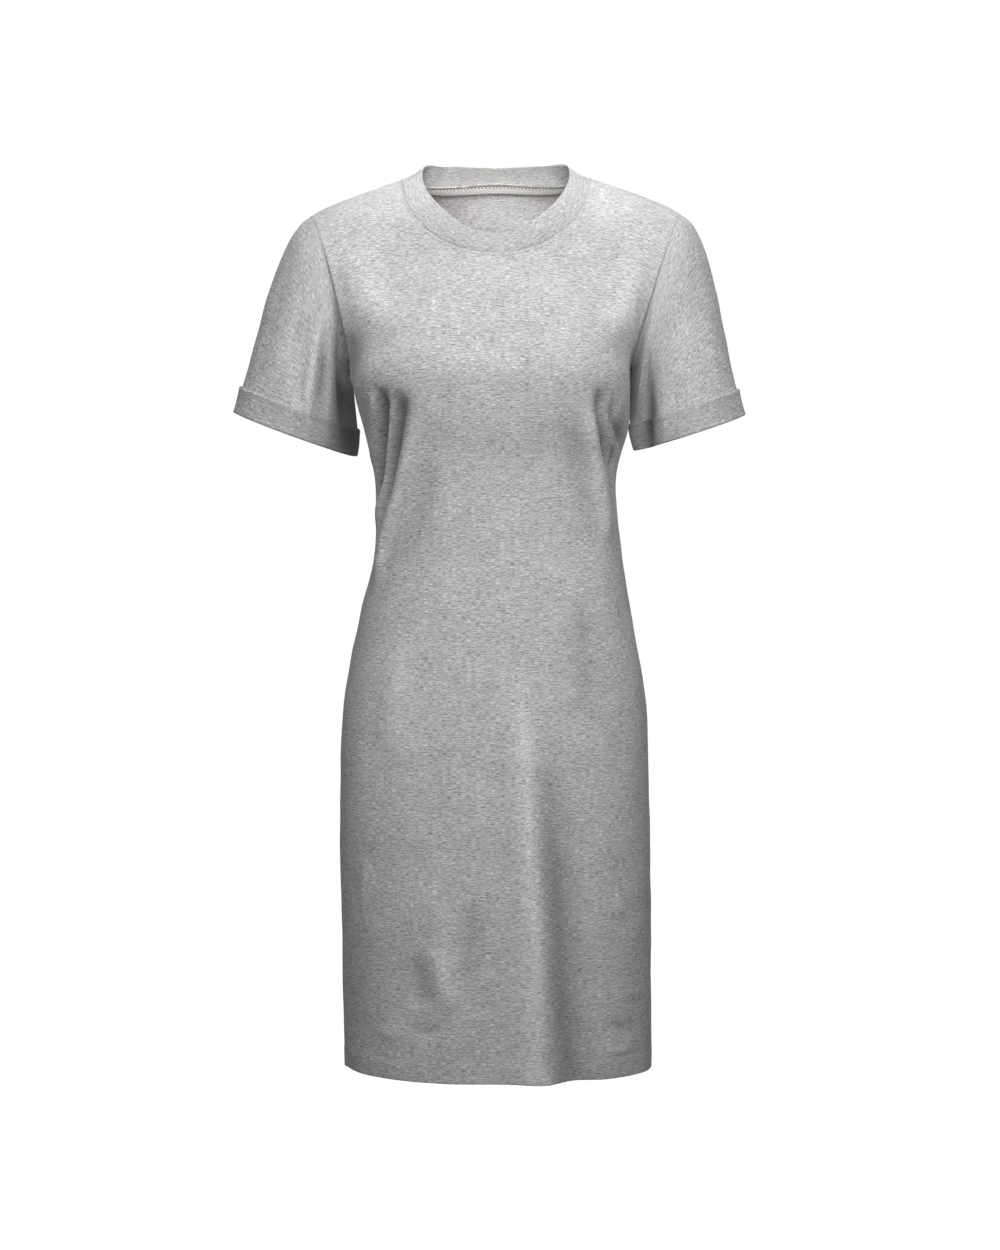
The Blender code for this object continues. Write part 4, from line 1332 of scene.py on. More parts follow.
@dataclass
class Sleeve:
    """One short sleeve, from the armhole seam to its end inside the turn-up cuff.

    The gutter is the recess in front of the armhole seam, by its depth and width; its depth also
    sets how dark the sleeve's painted shadow of the body is.
    """

    hand: Hand
    across: float
    height: float
    half_width: float
    half_depth: float
    side_tilt: float
    front_tilt: float
    creases: tuple
    gutter: float
    gutter_width: float
    rows: int = 92
    sleeve_tilt: float = 16
    start_tilt: float = 24
    head_sideways: float = 0.60
    head_forward: float = 0.30
    head_reach: float = 0.17
    end_reach: float = 0.40
    thickness: float = 1.05 * MM
    cuff_height: float = 28 * MM
    cuff_overhang: float = 2 * MM
    measure_steps: int = 81
    # Painted shade: a trough this deep is shaded fully.
    deepest: float = 13 * MM
    gutter_angle: float = 134
    gutter_spread: float = 48
    # Painted shadow of the body on the sleeve's inner side: the angles where it rises, is full,
    # starts to fade and ends, then its strength.
    body_shadow_angles: tuple = (72, 162, 205, 265)
    body_shadow_strength: float = 0.95
    seam: SeamRelief = field(default_factory=lambda: SeamRelief(0.9 * MM, 1.2 * MM, 0.1 * MM))
    underarm_seam: SeamRelief = field(default_factory=lambda: SeamRelief(0.6 * MM, 1.3 * MM))
    loop: Array | None = None
    angles: Array | None = None
    over: Array | None = None
    painted_shade: Array | None = None
    length: float = 0.0

    @property
    def side(self) -> str:
        """The sleeve's side as a word in its pieces' names."""
        return self.hand.name.lower()

    def join(self, body: Body) -> None:
        """Take the armhole from the body and start the columns at the underarm seam."""
        loop, angles = body.edge_loop(self.hand)
        start = int(np.argmin(np.abs(angles - math.pi)))
        self.loop = np.roll(loop, -start, axis=0)
        self.angles = np.roll(angles, -start)
        whole = self.bare(np.linspace(0, 1, self.measure_steps))
        self.over = run_length(whole[::-1], 0)[::-1]
        self.length = float(self.over[0].mean())

    def shares_at(self, heights: Array) -> Array:
        """Shares of the length at heights over the lower edge, a column for each of the arm's."""
        shares = np.linspace(1, 0, self.measure_steps)
        return np.stack([np.interp(heights, line[::-1], shares) for line in self.over.T], axis=1)

    def bare(self, shares: Array) -> Array:
        """Points of the sleeve's smooth form.

        Args:
            shares: shares of its length, from the armhole to the cuff's lower edge, for whole
                rows or column by column.

        Returns:
            A grid with a row for each share and a column for each point of the armhole.
        """
        hand = self.hand.value
        side = math.radians(self.side_tilt)
        fore = math.radians(self.front_tilt)
        centre = np.array((hand * self.across, 0, self.height)) * MM
        outward = np.array((hand * math.cos(side), 0, math.sin(side)))
        forward = np.array((0, -math.cos(fore), -math.sin(fore)))
        turn = self.angles[:, None]
        ring = (centre + self.half_width * MM * np.cos(turn) * outward
                + self.half_depth * MM * np.sin(turn) * forward)
        down, off = (np.array((hand * math.sin(tilt), 0, -math.cos(tilt)))
                     for tilt in (math.radians(self.sleeve_tilt), math.radians(self.start_tilt)))
        sideways = self.head_sideways * (1 + np.cos(turn)) / 2
        start = unit(sideways * np.array((hand, 0, 0)) + (1 - sideways) * off
                     + self.head_forward * np.sin(turn) * np.array((0, -1, 0)) * sideways)
        reach = np.linalg.norm(ring - self.loop, axis=1)[:, None]
        near = self.loop + start * reach * self.head_reach
        far = ring - down * reach * self.end_reach
        share = np.asarray(shares).reshape(len(shares), -1, 1)
        rest = 1 - share
        return (rest ** 3 * self.loop + 3 * rest ** 2 * share * near
                + 3 * rest * share ** 2 * far + share ** 3 * ring)

    def soft_lift(self, shares: Array, points: Array, drape: Drape) -> Array:
        """Outward shift of the sleeve's creases and ripples; it also works out the sleeve's painted
        shade.

        Args:
            shares: shares of the length, for whole rows or column by column.
            points: the bare sleeve at those shares.
            drape: the dress's drape, for its ripple.
        """
        turn = np.degrees(self.angles)[None, :] + 0 * points[..., 0]
        at = np.asarray(shares).reshape(len(shares), -1) + 0 * turn
        total = drape.ripple(points) * smooth(at, 0.02, 0.15)
        radius = self.half_width * MM * 0.9
        for crease in self.creases:
            place = crease.angle + crease.lean * (at - crease.middle)
            away = np.radians((turn - place + 180) % 360 - 180) * radius
            ends = (smooth(at, crease.start, crease.middle)
                    * (1 - smooth(at, crease.middle, crease.end)))
            total = total + crease.lift * MM * ends * bell(away, crease.width * MM)
        run = at * self.over[0]
        front = bell(turn - self.gutter_angle, self.gutter_spread)
        # Painted shade for the sleeve and its cuff.
        self.painted_shade = self.shade(turn, at, run, front, total)
        fall = smooth(run, 0, 3 * MM) * bell(run, self.gutter_width * MM)
        return total - self.gutter * MM * front * fall

    def shade(self, turn: Array, at: Array, run: Array, front: Array, lift: Array) -> Array:
        """Painted shade at each place, from 0 on even cloth to 1, and below 0 as painted highlight
        on ridges.

        Args:
            turn: angle round the arm in degrees.
            at: share of the sleeve's length.
            run: distance from the armhole seam.
            front: 1 at the gutter's angle, fading to either side.
            lift: outward shift of the creases.
        """
        start, full, leave, end = self.body_shadow_angles
        # Painted shade in the creases' troughs, and a painted shadow of the body over the sleeve's
        # inner side.
        trough_shade = np.clip(-lift / self.deepest, 0, 1)
        inner = smooth(turn, start, full) * (1 - smooth(turn, leave, end)) * smooth(at, -0.1, 0.3)
        beside = self.gutter / 14 * (self.body_shadow_strength * inner + 0.3 * front * bell(run, 12 * MM))
        # Painted highlight on ridges, and a painted shadow line along the armhole seam.
        light = np.clip(lift / self.deepest, 0, 0.4)
        return np.clip(np.maximum(trough_shade, beside) + 0.5 * np.minimum(trough_shade, beside)
                       + 0.6 * bell(run, 1.5 * MM) - light, -0.3, 1.15)

    def grid(self, shares: Array, drape: Drape) -> tuple[Array, Array]:
        """The sleeve's outer layer and its normals, with creases and seams."""
        points = self.bare(shares)
        normals = grid_normals(points, True)
        run = run_length(points, 0)
        lift = self.soft_lift(shares, points, drape)
        around = run_length(wrapped(points), 1)
        seam = np.minimum(around[:, :-1], around[:, -1:] - around[:, :-1])
        edge = self.seam.lift(run, around[:, :-1]) + self.seam.groove * bell(run, 1.2 * MM)
        lift = lift + edge * smooth(run, 0, 1.5 * MM)
        lift = lift + self.underarm_seam.lift(seam, run) * smooth(run, 1 * MM, 8 * MM)
        outer = points + normals * lift[..., None]
        return outer, grid_normals(outer, True)

    def weave(self, grid: Array, shares: Array) -> Array:
        """Weave coordinates: round the arm and along the sleeve, with a column for the close."""
        around = run_length(wrapped(grid), 1).mean(axis=0)
        along = wrapped(np.asarray(shares).reshape(len(shares), -1) + 0 * grid[..., 0])
        return np.stack(np.broadcast_arrays(around[None, :], -along * self.length), axis=2)

    def build(self, drape: Drape, material: Material) -> None:
        """Make the sleeve."""
        end = self.shares_at(np.array([self.cuff_overhang]))
        shares = spread(0, 1, self.rows, 2.6, 1.0, 0.06)[:, None] * end
        outer, normals = self.grid(shares, drape)
        inner = outer - normals * self.thickness
        off = unit(outer[-1] - outer[-2])
        shell = Shell("sleeve_" + self.side + "_cloth", outer, inner, self.weave(outer, shares),
                      True, high_rim=round_rim(outer[-1], inner[-1], off, 3),
                      painted_shade=self.painted_shade)
        piece = shell.build(material)
        area = cloth_area(outer, True)
        width = float(run_length(wrapped(outer), 1)[:, -1].max())
        length = float(run_length(outer, 0)[-1].max())
        declare(piece, "sleeve_" + self.side, (round(width, 3), round(length, 3)),
                round(area, 4))

    def build_cuff(self, drape: Drape, material: Material) -> tuple:
        """Make the turn-up cuff, a double fold with rolled edges.

        Args:
            drape: the dress's drape, for its ripple.
            material: the cuff's cloth.

        Returns:
            The place of its tack at the middle of its front, the way out of the cloth there,
            and the way up the sleeve.
        """
        height, offset = self.cuff_profile().T
        shares = self.shares_at(height * MM)
        points = self.bare(shares)
        normals = grid_normals(self.bare(np.linspace(0.86, 1.0, 9)), True)[4]
        turn = self.angles[None, :]
        wobble = (np.sin(2 * turn + 0.8) + 0.7 * np.sin(5 * turn + 2.1)
                  + 0.4 * np.sin(11 * turn)) / 2
        outside = (offset > 0.6)[:, None]
        rise = smooth(height, 8, 28)[:, None]
        stand = 0.28 * wobble * rise + 0.14 * np.sin(23 * turn) * bell(height[:, None] - 25, 5)
        shift = (offset[:, None] + np.where(outside, stand, 0)) * MM
        across = np.abs(turn % (2 * math.pi) - math.pi) * self.half_width * MM
        shift = shift - np.where(outside, 0.7 * MM * bell(across, 1.2 * MM), 0)
        lift = self.soft_lift(shares, points, drape)
        layers = points + normals * (lift + shift)[..., None]
        weave = self.weave(points, shares) * np.array((1.0, -1.0))
        # The cuff carries the sleeve's painted shade as well.
        piece = ring_piece("cuff_" + self.side + "_cloth", layers, weave, material, self.painted_shade)
        girths = run_length(wrapped(layers), 1)[:, -1]
        girth = float(girths[offset > 1.5].max())
        flat = (round(girth, 3), round(self.cuff_height, 3))
        declare(piece, "cuff_" + self.side, flat, round(girth * self.cuff_height, 4))
        column = int(np.argmin(np.abs(self.angles - math.radians(92))))
        top = int(np.argmax(height))
        return (layers[top + 2, column], normals[column],
                unit(layers[top + 2, column] - layers[top + 6, column]))

    @staticmethod
    def cuff_profile() -> Array:
        """Rows of the cuff's section: height over its lower edge and offset, in millimetres."""
        top = [(26.9, 0.15), (27.6, 0.45), (28.1, 1.1), (28.2, 1.8), (27.8, 2.4), (27.0, 2.75),
               (25.9, 2.8), (24.6, 2.6), (23.0, 2.4)]
        face = [(value, 2.3) for value in np.linspace(21.2, 4.4, 12)]
        low = [(3.0, 2.4), (1.8, 2.45), (0.8, 2.2), (0.2, 1.6), (0.0, 0.9), (0.1, 0.1),
               (0.5, -0.6), (1.1, -1.0), (1.9, -0.7), (2.3, 0.05), (9.0, 0.1), (18.0, 0.1)]
        return np.array(top + face + low)


def left_sleeve() -> Sleeve:
    """The wearer's left sleeve, which hangs a little closer."""
    creases = ((137, 0.22, 0.75, 1.5, 11.0, -12.0, 30),
               (168, 0.35, 0.80, 1.5, 8.0, 2.5, 0),
               (128, 0.20, 0.42, 0.62, 3.5, -2.2, 90),
               (134, 0.18, 0.36, 0.58, 3.5, 1.8, 90),
               (112, 0.45, 0.80, 1.3, 8.0, 1.6, 20),
               (70, 0.05, 0.45, 0.95, 11.0, 1.0, 12),
               (250, 0.10, 0.5, 0.95, 8.0, 1.6, 10),
               (285, 0.15, 0.6, 1.0, 8.0, -1.4, -8),
               (320, 0.05, 0.4, 0.9, 12.0, 1.0, 0))
    return Sleeve(Hand.LEFT, across=201.5, height=-267, half_width=58.5, half_depth=46,
                  side_tilt=18, front_tilt=6, gutter=7.0, gutter_width=16.0,
                  creases=tuple(SleeveCrease(*crease) for crease in creases))


def right_sleeve() -> Sleeve:
    """The wearer's right sleeve, wider, with a deeper recess beside the body and a darker painted
    shadow of the body on it.
    """
    creases = ((93, 0.22, 0.62, 1.02, 6.5, 5.0, 16),
               (104, 0.20, 0.60, 1.06, 5.0, -7.5, 16),
               (150, 0.06, 0.50, 1.25, 27.0, -11.0, 0),
               (117, 0.35, 0.70, 1.3, 7.0, 1.8, 0),
               (84, 0.70, 0.86, 1.05, 7.0, 1.6, 40),
               (60, 0.10, 0.5, 0.95, 10.0, 0.9, -10),
               (38, 0.15, 0.6, 0.95, 9.0, -0.8, 0),
               (248, 0.10, 0.5, 0.95, 8.0, 1.5, -8),
               (282, 0.20, 0.6, 1.0, 7.0, -1.4, 8),
               (318, 0.05, 0.45, 0.9, 12.0, 1.0, 0))
    return Sleeve(Hand.RIGHT, across=208.5, height=-269, half_width=66, half_depth=47,
                  side_tilt=20, front_tilt=6, gutter=14.0, gutter_width=34.0,
                  creases=tuple(SleeveCrease(*crease) for crease in creases))


# ------------------------------ neckband and tape


@dataclass
class Neckband:
    """The double band of the same jersey round the neck, joined at the centre back."""

    form: BodyForm
    edge: Table = Table(("angle", "height"),
                        ((0, -68), (20, -62), (45, -40), (75, -10), (90, 4), (105, 13),
                         (135, 16.5), (180, 16.5)), level_ends=True)
    edge_half_width: float = 77.5 * MM
    edge_centre: float = 12 * MM
    edge_front: float = 72 * MM
    edge_back: float = 47 * MM
    crown: float = 1.2 * MM
    thickness: float = 2.0 * MM
    rows: int = 18

    def build(self, body: Body, material: Material) -> None:
        """Make the band from the neck seam to its rolled free edge.

        Args:
            body: the panels whose neck edges it is sewn to.
            material: the band's cloth.
        """
        seam, angles = body.neck_edge()
        start = int(np.argmin(np.abs(angles - 180)))
        seam = np.roll(seam, -start, axis=0)
        angles = np.roll(angles, -start)
        turned = np.abs((angles + 180) % 360 - 180)
        swing = np.radians(angles)
        reach = np.where(turned < 90, self.edge_front, self.edge_back)
        edge = np.stack((self.edge_half_width * np.sin(swing),
                         self.edge_centre - reach * np.cos(swing),
                         self.edge.read("height", turned) * MM), axis=1)
        edge = self.form.leaned(edge)
        outward = unit(edge * np.array((1, 1, 0)) - np.array((0, self.edge_centre, 0)))
        part = spread(0, 1, self.rows, 2.6, 1.6, 0.14)[:, None, None]
        bare = seam + (edge - seam) * part + outward * self.crown * np.sin(math.pi * part)
        normals = grid_normals(bare, True)
        run = run_length(bare, 0)
        around = run_length(wrapped(bare), 1)
        along = around[:, :-1]
        join = np.minimum(along, around[:, -1:] - along)
        rise = body.neck_seam.groove * (1 - bell(run, 1.3 * MM))
        wave = (np.sin(along * 2 * math.pi / 0.033 + 0.6) * np.sin(along * 2 * math.pi / 0.021)
                + 0.6 * np.sin(along * 2 * math.pi / 0.0123 + run * 200))
        lift = rise + 0.16 * MM * wave * np.sin(math.pi * part[..., 0])
        lift = lift - 0.55 * MM * bell(join, 1.1 * MM) * smooth(part[..., 0], 0, 0.1)
        outer = bare + normals * lift[..., None]
        normals = grid_normals(outer, True)
        inner = outer - normals * self.thickness
        off = unit(outer[-1] - outer[-2])
        rim = round_rim(outer[-1], inner[-1], off, 6)
        low = inner[:1] * 0.5 + outer[:1] * 0.5
        layers = np.concatenate((outer, rim, inner[::-1], low))
        wide = around.mean(axis=0)
        up = run.mean(axis=1)
        height = np.concatenate((up, np.full(len(rim), up[-1]), up[::-1] + 0.05, [0.05]))
        weave = np.stack(np.broadcast_arrays(wide[None, :], height[:, None]), axis=2)
        piece = ring_piece("neckband_cloth", layers, weave, material)
        flat = (round(float(around[:, -1].max()), 3), round(float(run[-1].max()), 4))
        declare(piece, "neckband", flat, round(cloth_area(outer, True), 4))


@dataclass
class NeckTape:
    """The narrow twill tape over the back neck seam, inside, from shoulder to shoulder."""

    finish: TwillTape = TwillTape()
    thickness: float = 0.8 * MM
    clearance: float = 0.15 * MM
    columns: int = 420
    rows: int = 16
    rib_lift: float = 0.22 * MM

    def strip(self, body: Body) -> tuple[Array, Array]:
        """The back's inside under the tape: points and the way into the dress."""
        low = body.shoulder_spans
        count = body.columns().size - low
        inside = body.inner[Face.BACK][:, low:count]
        inward = -body.normals[Face.BACK][:, low:count]
        run = run_length(inside[::-1], 0)
        depth = np.linspace(0.2 * MM, self.finish.width, self.rows + 1)
        points = at_distances(inside[::-1], run, depth)
        ways = at_distances(inward[::-1], run, depth)
        along = run_length(points, 1).mean(axis=0)
        fine = np.linspace(0, along[-1], self.columns + 1)
        wide = [np.stack([[np.interp(fine, along, row[:, axis]) for axis in range(3)]
                          for row in grid]).transpose(0, 2, 1) for grid in (points, ways)]
        return wide[0], unit(wide[1])

    def build(self, body: Body) -> tuple[Array, Array]:
        """Make the tape.

        Args:
            body: the panels that it lies in.

        Returns:
            The tape's face and the way out of it, for its stitches.
        """
        backing, inward = self.strip(body)
        along = run_length(backing, 1)
        down = run_length(backing, 0)
        ribs = np.sin((along * self.finish.slant + down) * 2 * math.pi / self.finish.rib)
        edge = np.minimum(down, self.finish.width - down)
        dip = 0.16 * MM * bell(edge - 1.4 * MM, 0.5 * MM)
        lift = self.clearance + self.thickness + self.rib_lift * ribs - dip
        face = backing + inward * lift[..., None]
        behind = backing + inward * self.clearance
        weave = np.stack((along, -down), axis=2)
        low = round_rim(behind[-1], face[-1], unit(face[-1] - face[-2]), 3)
        # Turned both ways, the rows run up from the lower edge and the face looks inward.
        shell = Shell("neck_tape_cloth", face[::-1, ::-1], behind[::-1, ::-1],
                      weave[::-1, ::-1], False, low_rim=low[:, ::-1])
        piece = shell.build(self.finish.make())
        length = float(along[:, -1].max())
        flat = (round(length, 3), self.finish.width)
        declare(piece, "neck_tape", flat, round(length * self.finish.width * 0.97, 5))
        return face, inward


# ------------------------------ stitches


class StitchTree:
    """Geometry Nodes that lay raised thread stitches along a path on the cloth."""

    sizes: tuple = ("Pitch", "Stitch Length", "Thread Radius", "Arch")

    def __init__(self) -> None:
        """Build the tree with its named inputs."""
        self.tree = bpy.data.node_groups.new("stitches", "GeometryNodeTree")
        face = self.tree.interface
        face.new_socket("Path", in_out="INPUT", socket_type="NodeSocketGeometry")
        for name in self.sizes:
            face.new_socket(name, in_out="INPUT", socket_type="NodeSocketFloat")
        face.new_socket("Thread", in_out="INPUT", socket_type="NodeSocketMaterial")
        face.new_socket("Stitches", in_out="OUTPUT", socket_type="NodeSocketGeometry")
        self.fill()

    def add(self, kind: str, inputs: dict | None = None, **settings: object) -> bpy.types.Node:
        """Add a node by its full type, as add_node does."""
        return add_node(self.tree, kind, inputs, settings)

    def fill(self) -> None:
        """Resample the path, arch one thread over each pitch, and realise the stitches."""
        given = self.add("NodeGroupInput").outputs
        curve = self.add("GeometryNodeMeshToCurve", {0: given["Path"]}).outputs[0]
        spaced = self.add("GeometryNodeResampleCurve", {"Curve": curve, "Length": given["Pitch"]},
                          mode="LENGTH").outputs[0]
        half, back, rise = (self.add("ShaderNodeMath", {0: given[name], 1: share},
                                     operation="MULTIPLY").outputs[0]
                            for name, share in (("Stitch Length", 0.5), ("Stitch Length", -0.5),
                                                ("Arch", 2.0)))
        start, middle, end = (self.add("ShaderNodeCombineXYZ", {axis: value}).outputs[0]
                              for axis, value in ((0, back), (2, rise), (0, half)))
        arch = self.add("GeometryNodeCurveQuadraticBezier",
                        {"Resolution": 5, "Start": start, "Middle": middle, "End": end}).outputs[0]
        ring = self.add("GeometryNodeCurvePrimitiveCircle",
                        {"Resolution": 6, "Radius": given["Thread Radius"]}).outputs[0]
        thread = self.add("GeometryNodeCurveToMesh",
                          {"Curve": arch, "Profile Curve": ring, "Fill Caps": True}).outputs[0]
        out = self.add("GeometryNodeInputNamedAttribute", {"Name": "out"},
                       data_type="FLOAT_VECTOR").outputs[0]
        tangent = self.add("GeometryNodeInputTangent").outputs[0]
        turn = self.add("FunctionNodeAxesToRotation", {0: out, 1: tangent},
                        primary_axis="Z", secondary_axis="X").outputs[0]
        laid = self.add("GeometryNodeInstanceOnPoints",
                        {"Points": spaced, "Instance": thread, "Rotation": turn}).outputs[0]
        real = self.add("GeometryNodeRealizeInstances", {0: laid}).outputs[0]
        done = self.add("GeometryNodeSetMaterial",
                        {"Geometry": real, "Material": given["Thread"]}).outputs[0]
        self.add("NodeGroupOutput", {0: done})

    def sew(self, name: str, runs: list, material: Material,
            sizes: tuple) -> None:
        """Sew stitches along some runs and make them one plain mesh.

        Args:
            name: the piece's name.
            runs: pairs of path points and the way out of the cloth at each.
            material: the thread's finish.
            sizes: the tree's sizes in their order, in millimetres.
        """
        points = [point for path, _ in runs for point in path.tolist()]
        ways = np.concatenate([way for _, way in runs])
        edges = []
        first = 0
        for path, _ in runs:
            edges += [(first + index, first + index + 1) for index in range(len(path) - 1)]
            first += len(path)
        mesh = bpy.data.meshes.new(name + "_path")
        mesh.from_pydata(points, edges, [])
        layer = mesh.attributes.new("out", "FLOAT_VECTOR", "POINT")
        layer.data.foreach_set("vector", ways.astype(np.float32).ravel())
        guide = place_object(name + "_path", mesh)
        modifier = guide.modifiers.new("stitches", "NODES")
        modifier.node_group = self.tree
        sockets = {item.name: item.identifier for item in self.tree.interface.items_tree}
        for size, value in zip(self.sizes, sizes):
            modifier[sockets[size]] = value * MM
        modifier[sockets["Thread"]] = material
        bpy.context.view_layer.update()
        graph = bpy.context.evaluated_depsgraph_get()
        made = bpy.data.meshes.new_from_object(guide.evaluated_get(graph))
        made.name = name
        bpy.data.objects.remove(guide)
        made.shade_smooth()
        piece = place_object(name, made)
        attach(piece, "root")
        LOG.info("%s: %d faces", name, len(made.polygons))


def run_across(grid: Array, normals: Array, distance: float, from_top: bool,
               columns: slice, lift: float) -> tuple[Array, Array]:
    """A path across a grid's columns, at one distance from its top or bottom edge.

    Args:
        grid: the cloth's points.
        normals: its normals.
        distance: distance from the edge.
        from_top: measure from the last row instead of the first.
        columns: which columns it crosses.
        lift: how far the path lies over the cloth.

    Returns:
        The path's points and the way out of the cloth at each.
    """
    order = slice(None, None, -1 if from_top else 1)
    points = grid[order, columns]
    ways = normals[order, columns]
    run = run_length(points, 0)
    path = at_distances(points, run, [distance])[0]
    way = unit(at_distances(ways, run, [distance])[0])
    return path + way * lift, way


def sew_dress(body: Body, tape: NeckTape, tape_face: Array, tape_out: Array,
              tacks: list) -> None:
    """Sew the hem, the neck's topstitching, the tape and the cuffs' tacks.

    Args:
        body: the panels.
        tape: the neck tape's sizes.
        tape_face: the tape's points.
        tape_out: the way out of the tape at each.
        tacks: for each cuff, its tack's place, the way out of the cloth and the way up.
    """
    stitches = StitchTree()
    grey = SewingThread("grey_thread", (0.50, 0.495, 0.49, 1.0)).make()
    pale = SewingThread("pale_thread", (0.62, 0.61, 0.59, 1.0)).make()
    # Painted shadow: near-black thread for the tape's stitches, which draws the dark shade line
    # along the tape.
    dark = SewingThread("tape_shadow_thread", (0.075, 0.075, 0.078, 1.0)).make()
    every = slice(None)
    neck = slice(body.shoulder_spans, body.columns().size - body.shoulder_spans)
    hem_runs = [run_across(body.outer[face], body.normals[face], body.hem_fold, False, every,
                           0.02 * MM) for face in Face]
    neck_runs = [run_across(body.outer[face], body.normals[face], body.topstitch, True, neck,
                            0.04 * MM) for face in Face]
    tape_runs = [run_across(tape_face, tape_out, depth, False, every, 0.02 * MM)
                 for depth in (1.4 * MM, tape.finish.width - 1.0 * MM)]
    tack_runs = []
    for place, out, up in tacks:
        for shift in (-0.45, 0.0, 0.45):
            side = np.cross(out, up) * shift * MM
            path = np.array([place + side + up * step * MM for step in (-2.0, 0.0, 2.0)])
            tack_runs.append((path + out * 0.1 * MM, np.array([out] * 3)))
    for name, runs, thread, slot, sizes in (
            ("hem_stitches", hem_runs, grey, "jersey", (3.1, 2.4, 0.19, 0.16)),
            ("neck_topstitches", neck_runs, pale, "band_jersey", (3.0, 2.2, 0.24, 0.26)),
            ("tape_stitches", tape_runs, dark, "twill_tape", (2.6, 2.2, 0.2, 0.18)),
            ("cuff_tacks", tack_runs, grey, "cuff_jersey", (2.4, 2.6, 0.22, 0.3))):
        stitches.sew(name, runs, thread, sizes)


# ------------------------------ studio


@dataclass(frozen=True)
class Lamp:
    """One soft light."""

    name: str
    place: tuple
    target: tuple
    width: float
    height: float
    watts: float
    spread: float = 180.0

    def make(self) -> None:
        """Hang the light and turn it to its target."""
        light = bpy.data.lights.new(self.name, "AREA")
        light.shape = "RECTANGLE"
        light.size = self.width
        light.size_y = self.height
        light.energy = self.watts
        light.spread = math.radians(self.spread)
        lamp = bpy.data.objects.new(self.name, light)
        bpy.context.scene.collection.objects.link(lamp)
        lamp.location = self.place
        lamp.rotation_mode = "QUATERNION"
        lamp.rotation_quaternion = aim(self.place, self.target)


def aim(place: tuple, target: tuple) -> object:
    """Rotation that turns -Z from a place to its target, with Y up."""
    return (Vector(target) - Vector(place)).to_track_quat("-Z", "Y")


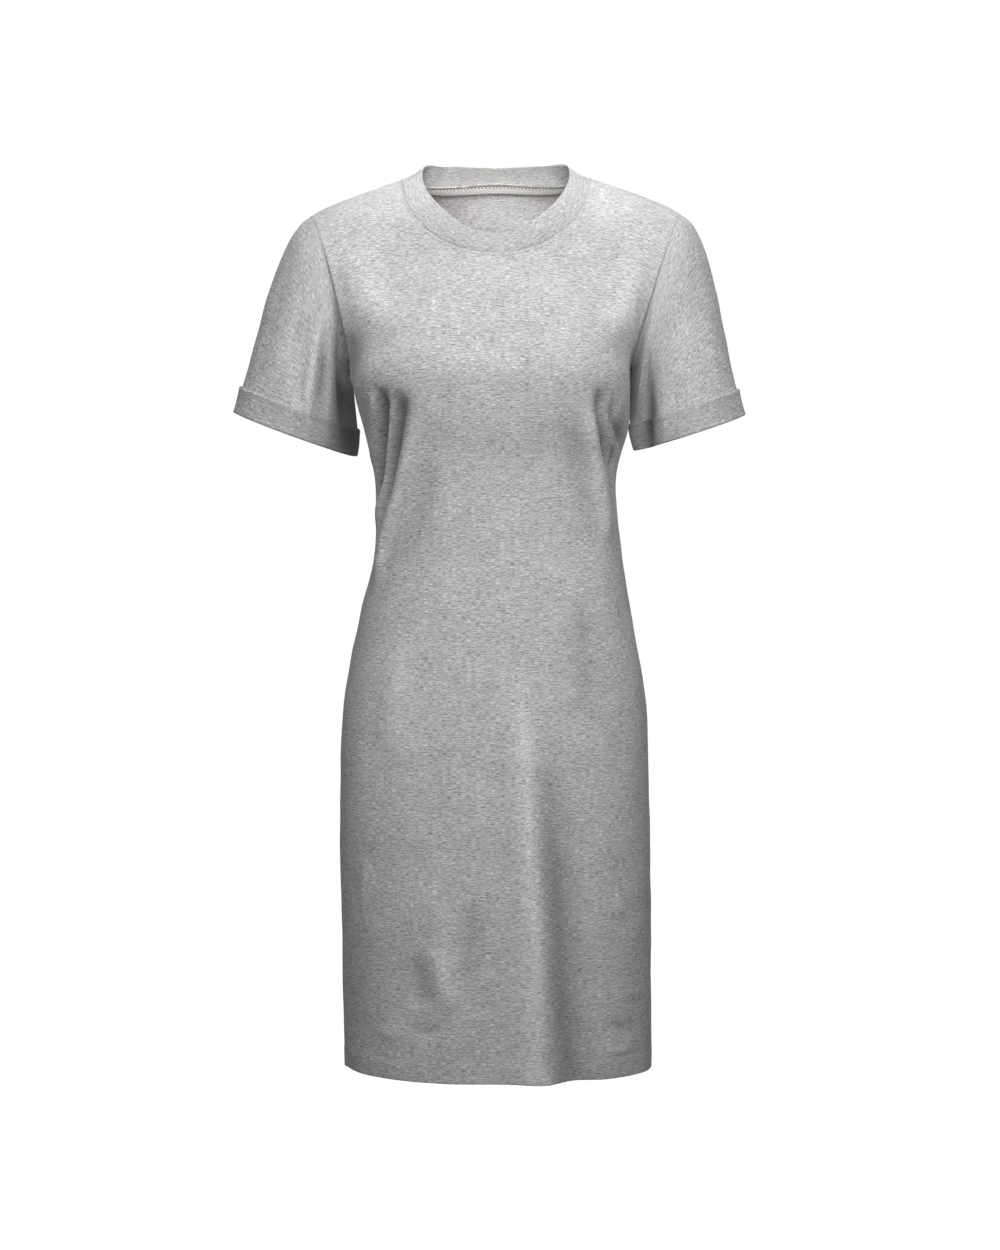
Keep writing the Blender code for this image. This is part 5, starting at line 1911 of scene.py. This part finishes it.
@dataclass
class Studio:
    """The camera, the soft lights, the pale floor and the white surroundings."""

    camera_place: tuple = (0.0042, -3.069, -0.467)
    lens: float = 85.0
    floor_height: float = -1.55
    floor_radius: float = 9.0
    floor_sides: int = 96
    dome_radius: float = 24.0
    dome_rows: int = 24
    dome_columns: int = 48
    ambient: float = 0.01
    lamps: tuple = (
        Lamp("key", (0.6, -1.0, 0.6), (0.0, 0.0, -0.40), 0.7, 0.7, 13.6),
        Lamp("second", (-0.6, -1.0, 0.6), (0.0, 0.0, -0.40), 0.8, 0.8, 6.5),
        Lamp("front", (0.0, -1.2, 0.15), (0.0, 0.0, -0.40), 0.8, 0.8, 9.5),
        Lamp("low_right", (-0.35, -2.5, -0.4), (0.0, 0.0, -0.50), 0.9, 0.9, 14.5),
        Lamp("top", (0.0, 0.4, 1.5), (0.0, 0.0, -0.40), 0.9, 0.9, 20.0),
        Lamp("neck", (0.0, -1.5, 0.50), (0.0, 0.05, 0.002), 0.3, 0.05, 0.1, spread=8.0),
        Lamp("behind", (0.3, 2.4, -0.9), (0.0, 0.0, -0.5), 1.2, 1.2, 30.0),
    )

    def make(self) -> None:
        """Set up the camera, the lights and what stands round the dress."""
        self.hang_camera()
        for lamp in self.lamps:
            lamp.make()
        scene = bpy.context.scene
        world = bpy.data.worlds.new("studio")
        world.use_nodes = True
        background = world.node_tree.nodes["Background"]
        background.inputs["Color"].default_value = (1.0, 1.0, 1.0, 1.0)
        background.inputs["Strength"].default_value = self.ambient
        scene.world = world
        scene.view_settings.view_transform = "Standard"
        scene.view_settings.look = "None"
        self.floor()
        self.dome()

    def hang_camera(self) -> None:
        """Place the camera level with the middle of the dress."""
        data = bpy.data.cameras.new("camera")
        data.lens = self.lens
        data.sensor_width = 36.0
        camera = bpy.data.objects.new("camera", data)
        bpy.context.scene.collection.objects.link(camera)
        camera.location = self.camera_place
        camera.rotation_euler = (math.pi / 2, 0.0, 0.0)
        bpy.context.scene.camera = camera

    def glowing(self, name: str, colour: tuple, glow: float) -> Material:
        """A matt white surface that is also lit from within."""
        nodes = Nodes(name)
        place = nodes.add("TexCoord").outputs["Object"]
        grain = nodes.noise(place, (3, 3, 3), 2.0, 5.0)
        rough = nodes.add("MapRange", {"Value": grain, "To Min": 0.85, "To Max": 0.95})
        shader = nodes.add("BsdfPrincipled", {
            "Base Color": colour, "Roughness": rough.outputs[0], "Specular IOR Level": 0.0,
            "Emission Color": (1.0, 1.0, 1.0, 1.0), "Emission Strength": glow})
        return nodes.finish(shader.outputs[0])

    def floor(self) -> None:
        """Lay the pale floor well below the hem."""
        turns = np.linspace(0, 2 * math.pi, self.floor_sides + 1)[:-1]
        ring = np.stack((np.cos(turns), np.sin(turns), 0 * turns), axis=1) * self.floor_radius
        ring[:, 2] = self.floor_height
        mesh = bpy.data.meshes.new("studio_floor")
        mesh.from_pydata(ring.tolist(), [], [list(range(self.floor_sides))])
        mesh.materials.append(self.glowing("floor_white", (0.85, 0.85, 0.85, 1.0), 1.03))
        floor = place_object("studio_floor", mesh)
        floor.visible_diffuse = False

    def dome(self) -> None:
        """Close the view with a white dome that casts no light of its own."""
        mesh = bpy.data.meshes.new("studio_dome")
        rows, columns = self.dome_rows, self.dome_columns
        turns = np.linspace(0, 2 * math.pi, columns + 1)[:-1]
        rises = np.linspace(-math.pi / 2 + 0.02, math.pi / 2 - 0.02, rows + 1)
        points = [(math.cos(rise) * math.cos(turn) * self.dome_radius,
                   math.cos(rise) * math.sin(turn) * self.dome_radius,
                   math.sin(rise) * self.dome_radius) for rise in rises for turn in turns]
        faces = [(row * columns + column, (row + 1) * columns + column,
                  (row + 1) * columns + (column + 1) % columns,
                  row * columns + (column + 1) % columns)
                 for row in range(rows) for column in range(columns)]
        mesh.from_pydata(points, [], faces)
        mesh.materials.append(self.glowing("dome_white", (0.0, 0.0, 0.0, 1.0), 1.02))
        dome = place_object("studio_dome", mesh)
        dome.visible_diffuse = False
        dome.visible_glossy = False
        dome.visible_shadow = False


# ------------------------------ the dress


def corners(box: tuple) -> list:
    """A box's two corners as plain lists."""
    return [list(corner) for corner in box]


def main() -> None:
    """Build the dress in order and set it in the studio."""
    logging.basicConfig(level=logging.INFO, format="%(message)s")
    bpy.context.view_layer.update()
    form = BodyForm()
    drape = Drape()
    jersey = HeatherJersey().make()
    # Painted shade: the cuffs get a darker copy of the jersey, with stronger painted shade, for the
    # shade they hang in.
    cuff_jersey = HeatherJersey(name="heather_cuff_painted_shade", middle=(0.30, 0.298, 0.296, 1.0),
                                light=(0.57, 0.565, 0.555, 1.0), painted_shade_strength=0.75).make()
    band_jersey = HeatherJersey(name="heather_band", middle=(0.31, 0.308, 0.306, 1.0),
                                light=(0.56, 0.555, 0.547, 1.0)).make()
    body = Body(form, drape)
    body.shape()
    body.build(jersey)
    tacks = []
    for sleeve in (left_sleeve(), right_sleeve()):
        sleeve.join(body)
        sleeve.build(drape, jersey)
        tacks.append(sleeve.build_cuff(drape, cuff_jersey))
    Neckband(form).build(body, band_jersey)
    tape = NeckTape()
    tape_face, tape_out = tape.build(body)
    sew_dress(body, tape, tape_face, tape_out, tacks)
    Studio().make()


if __name__ == "__main__":
    main()
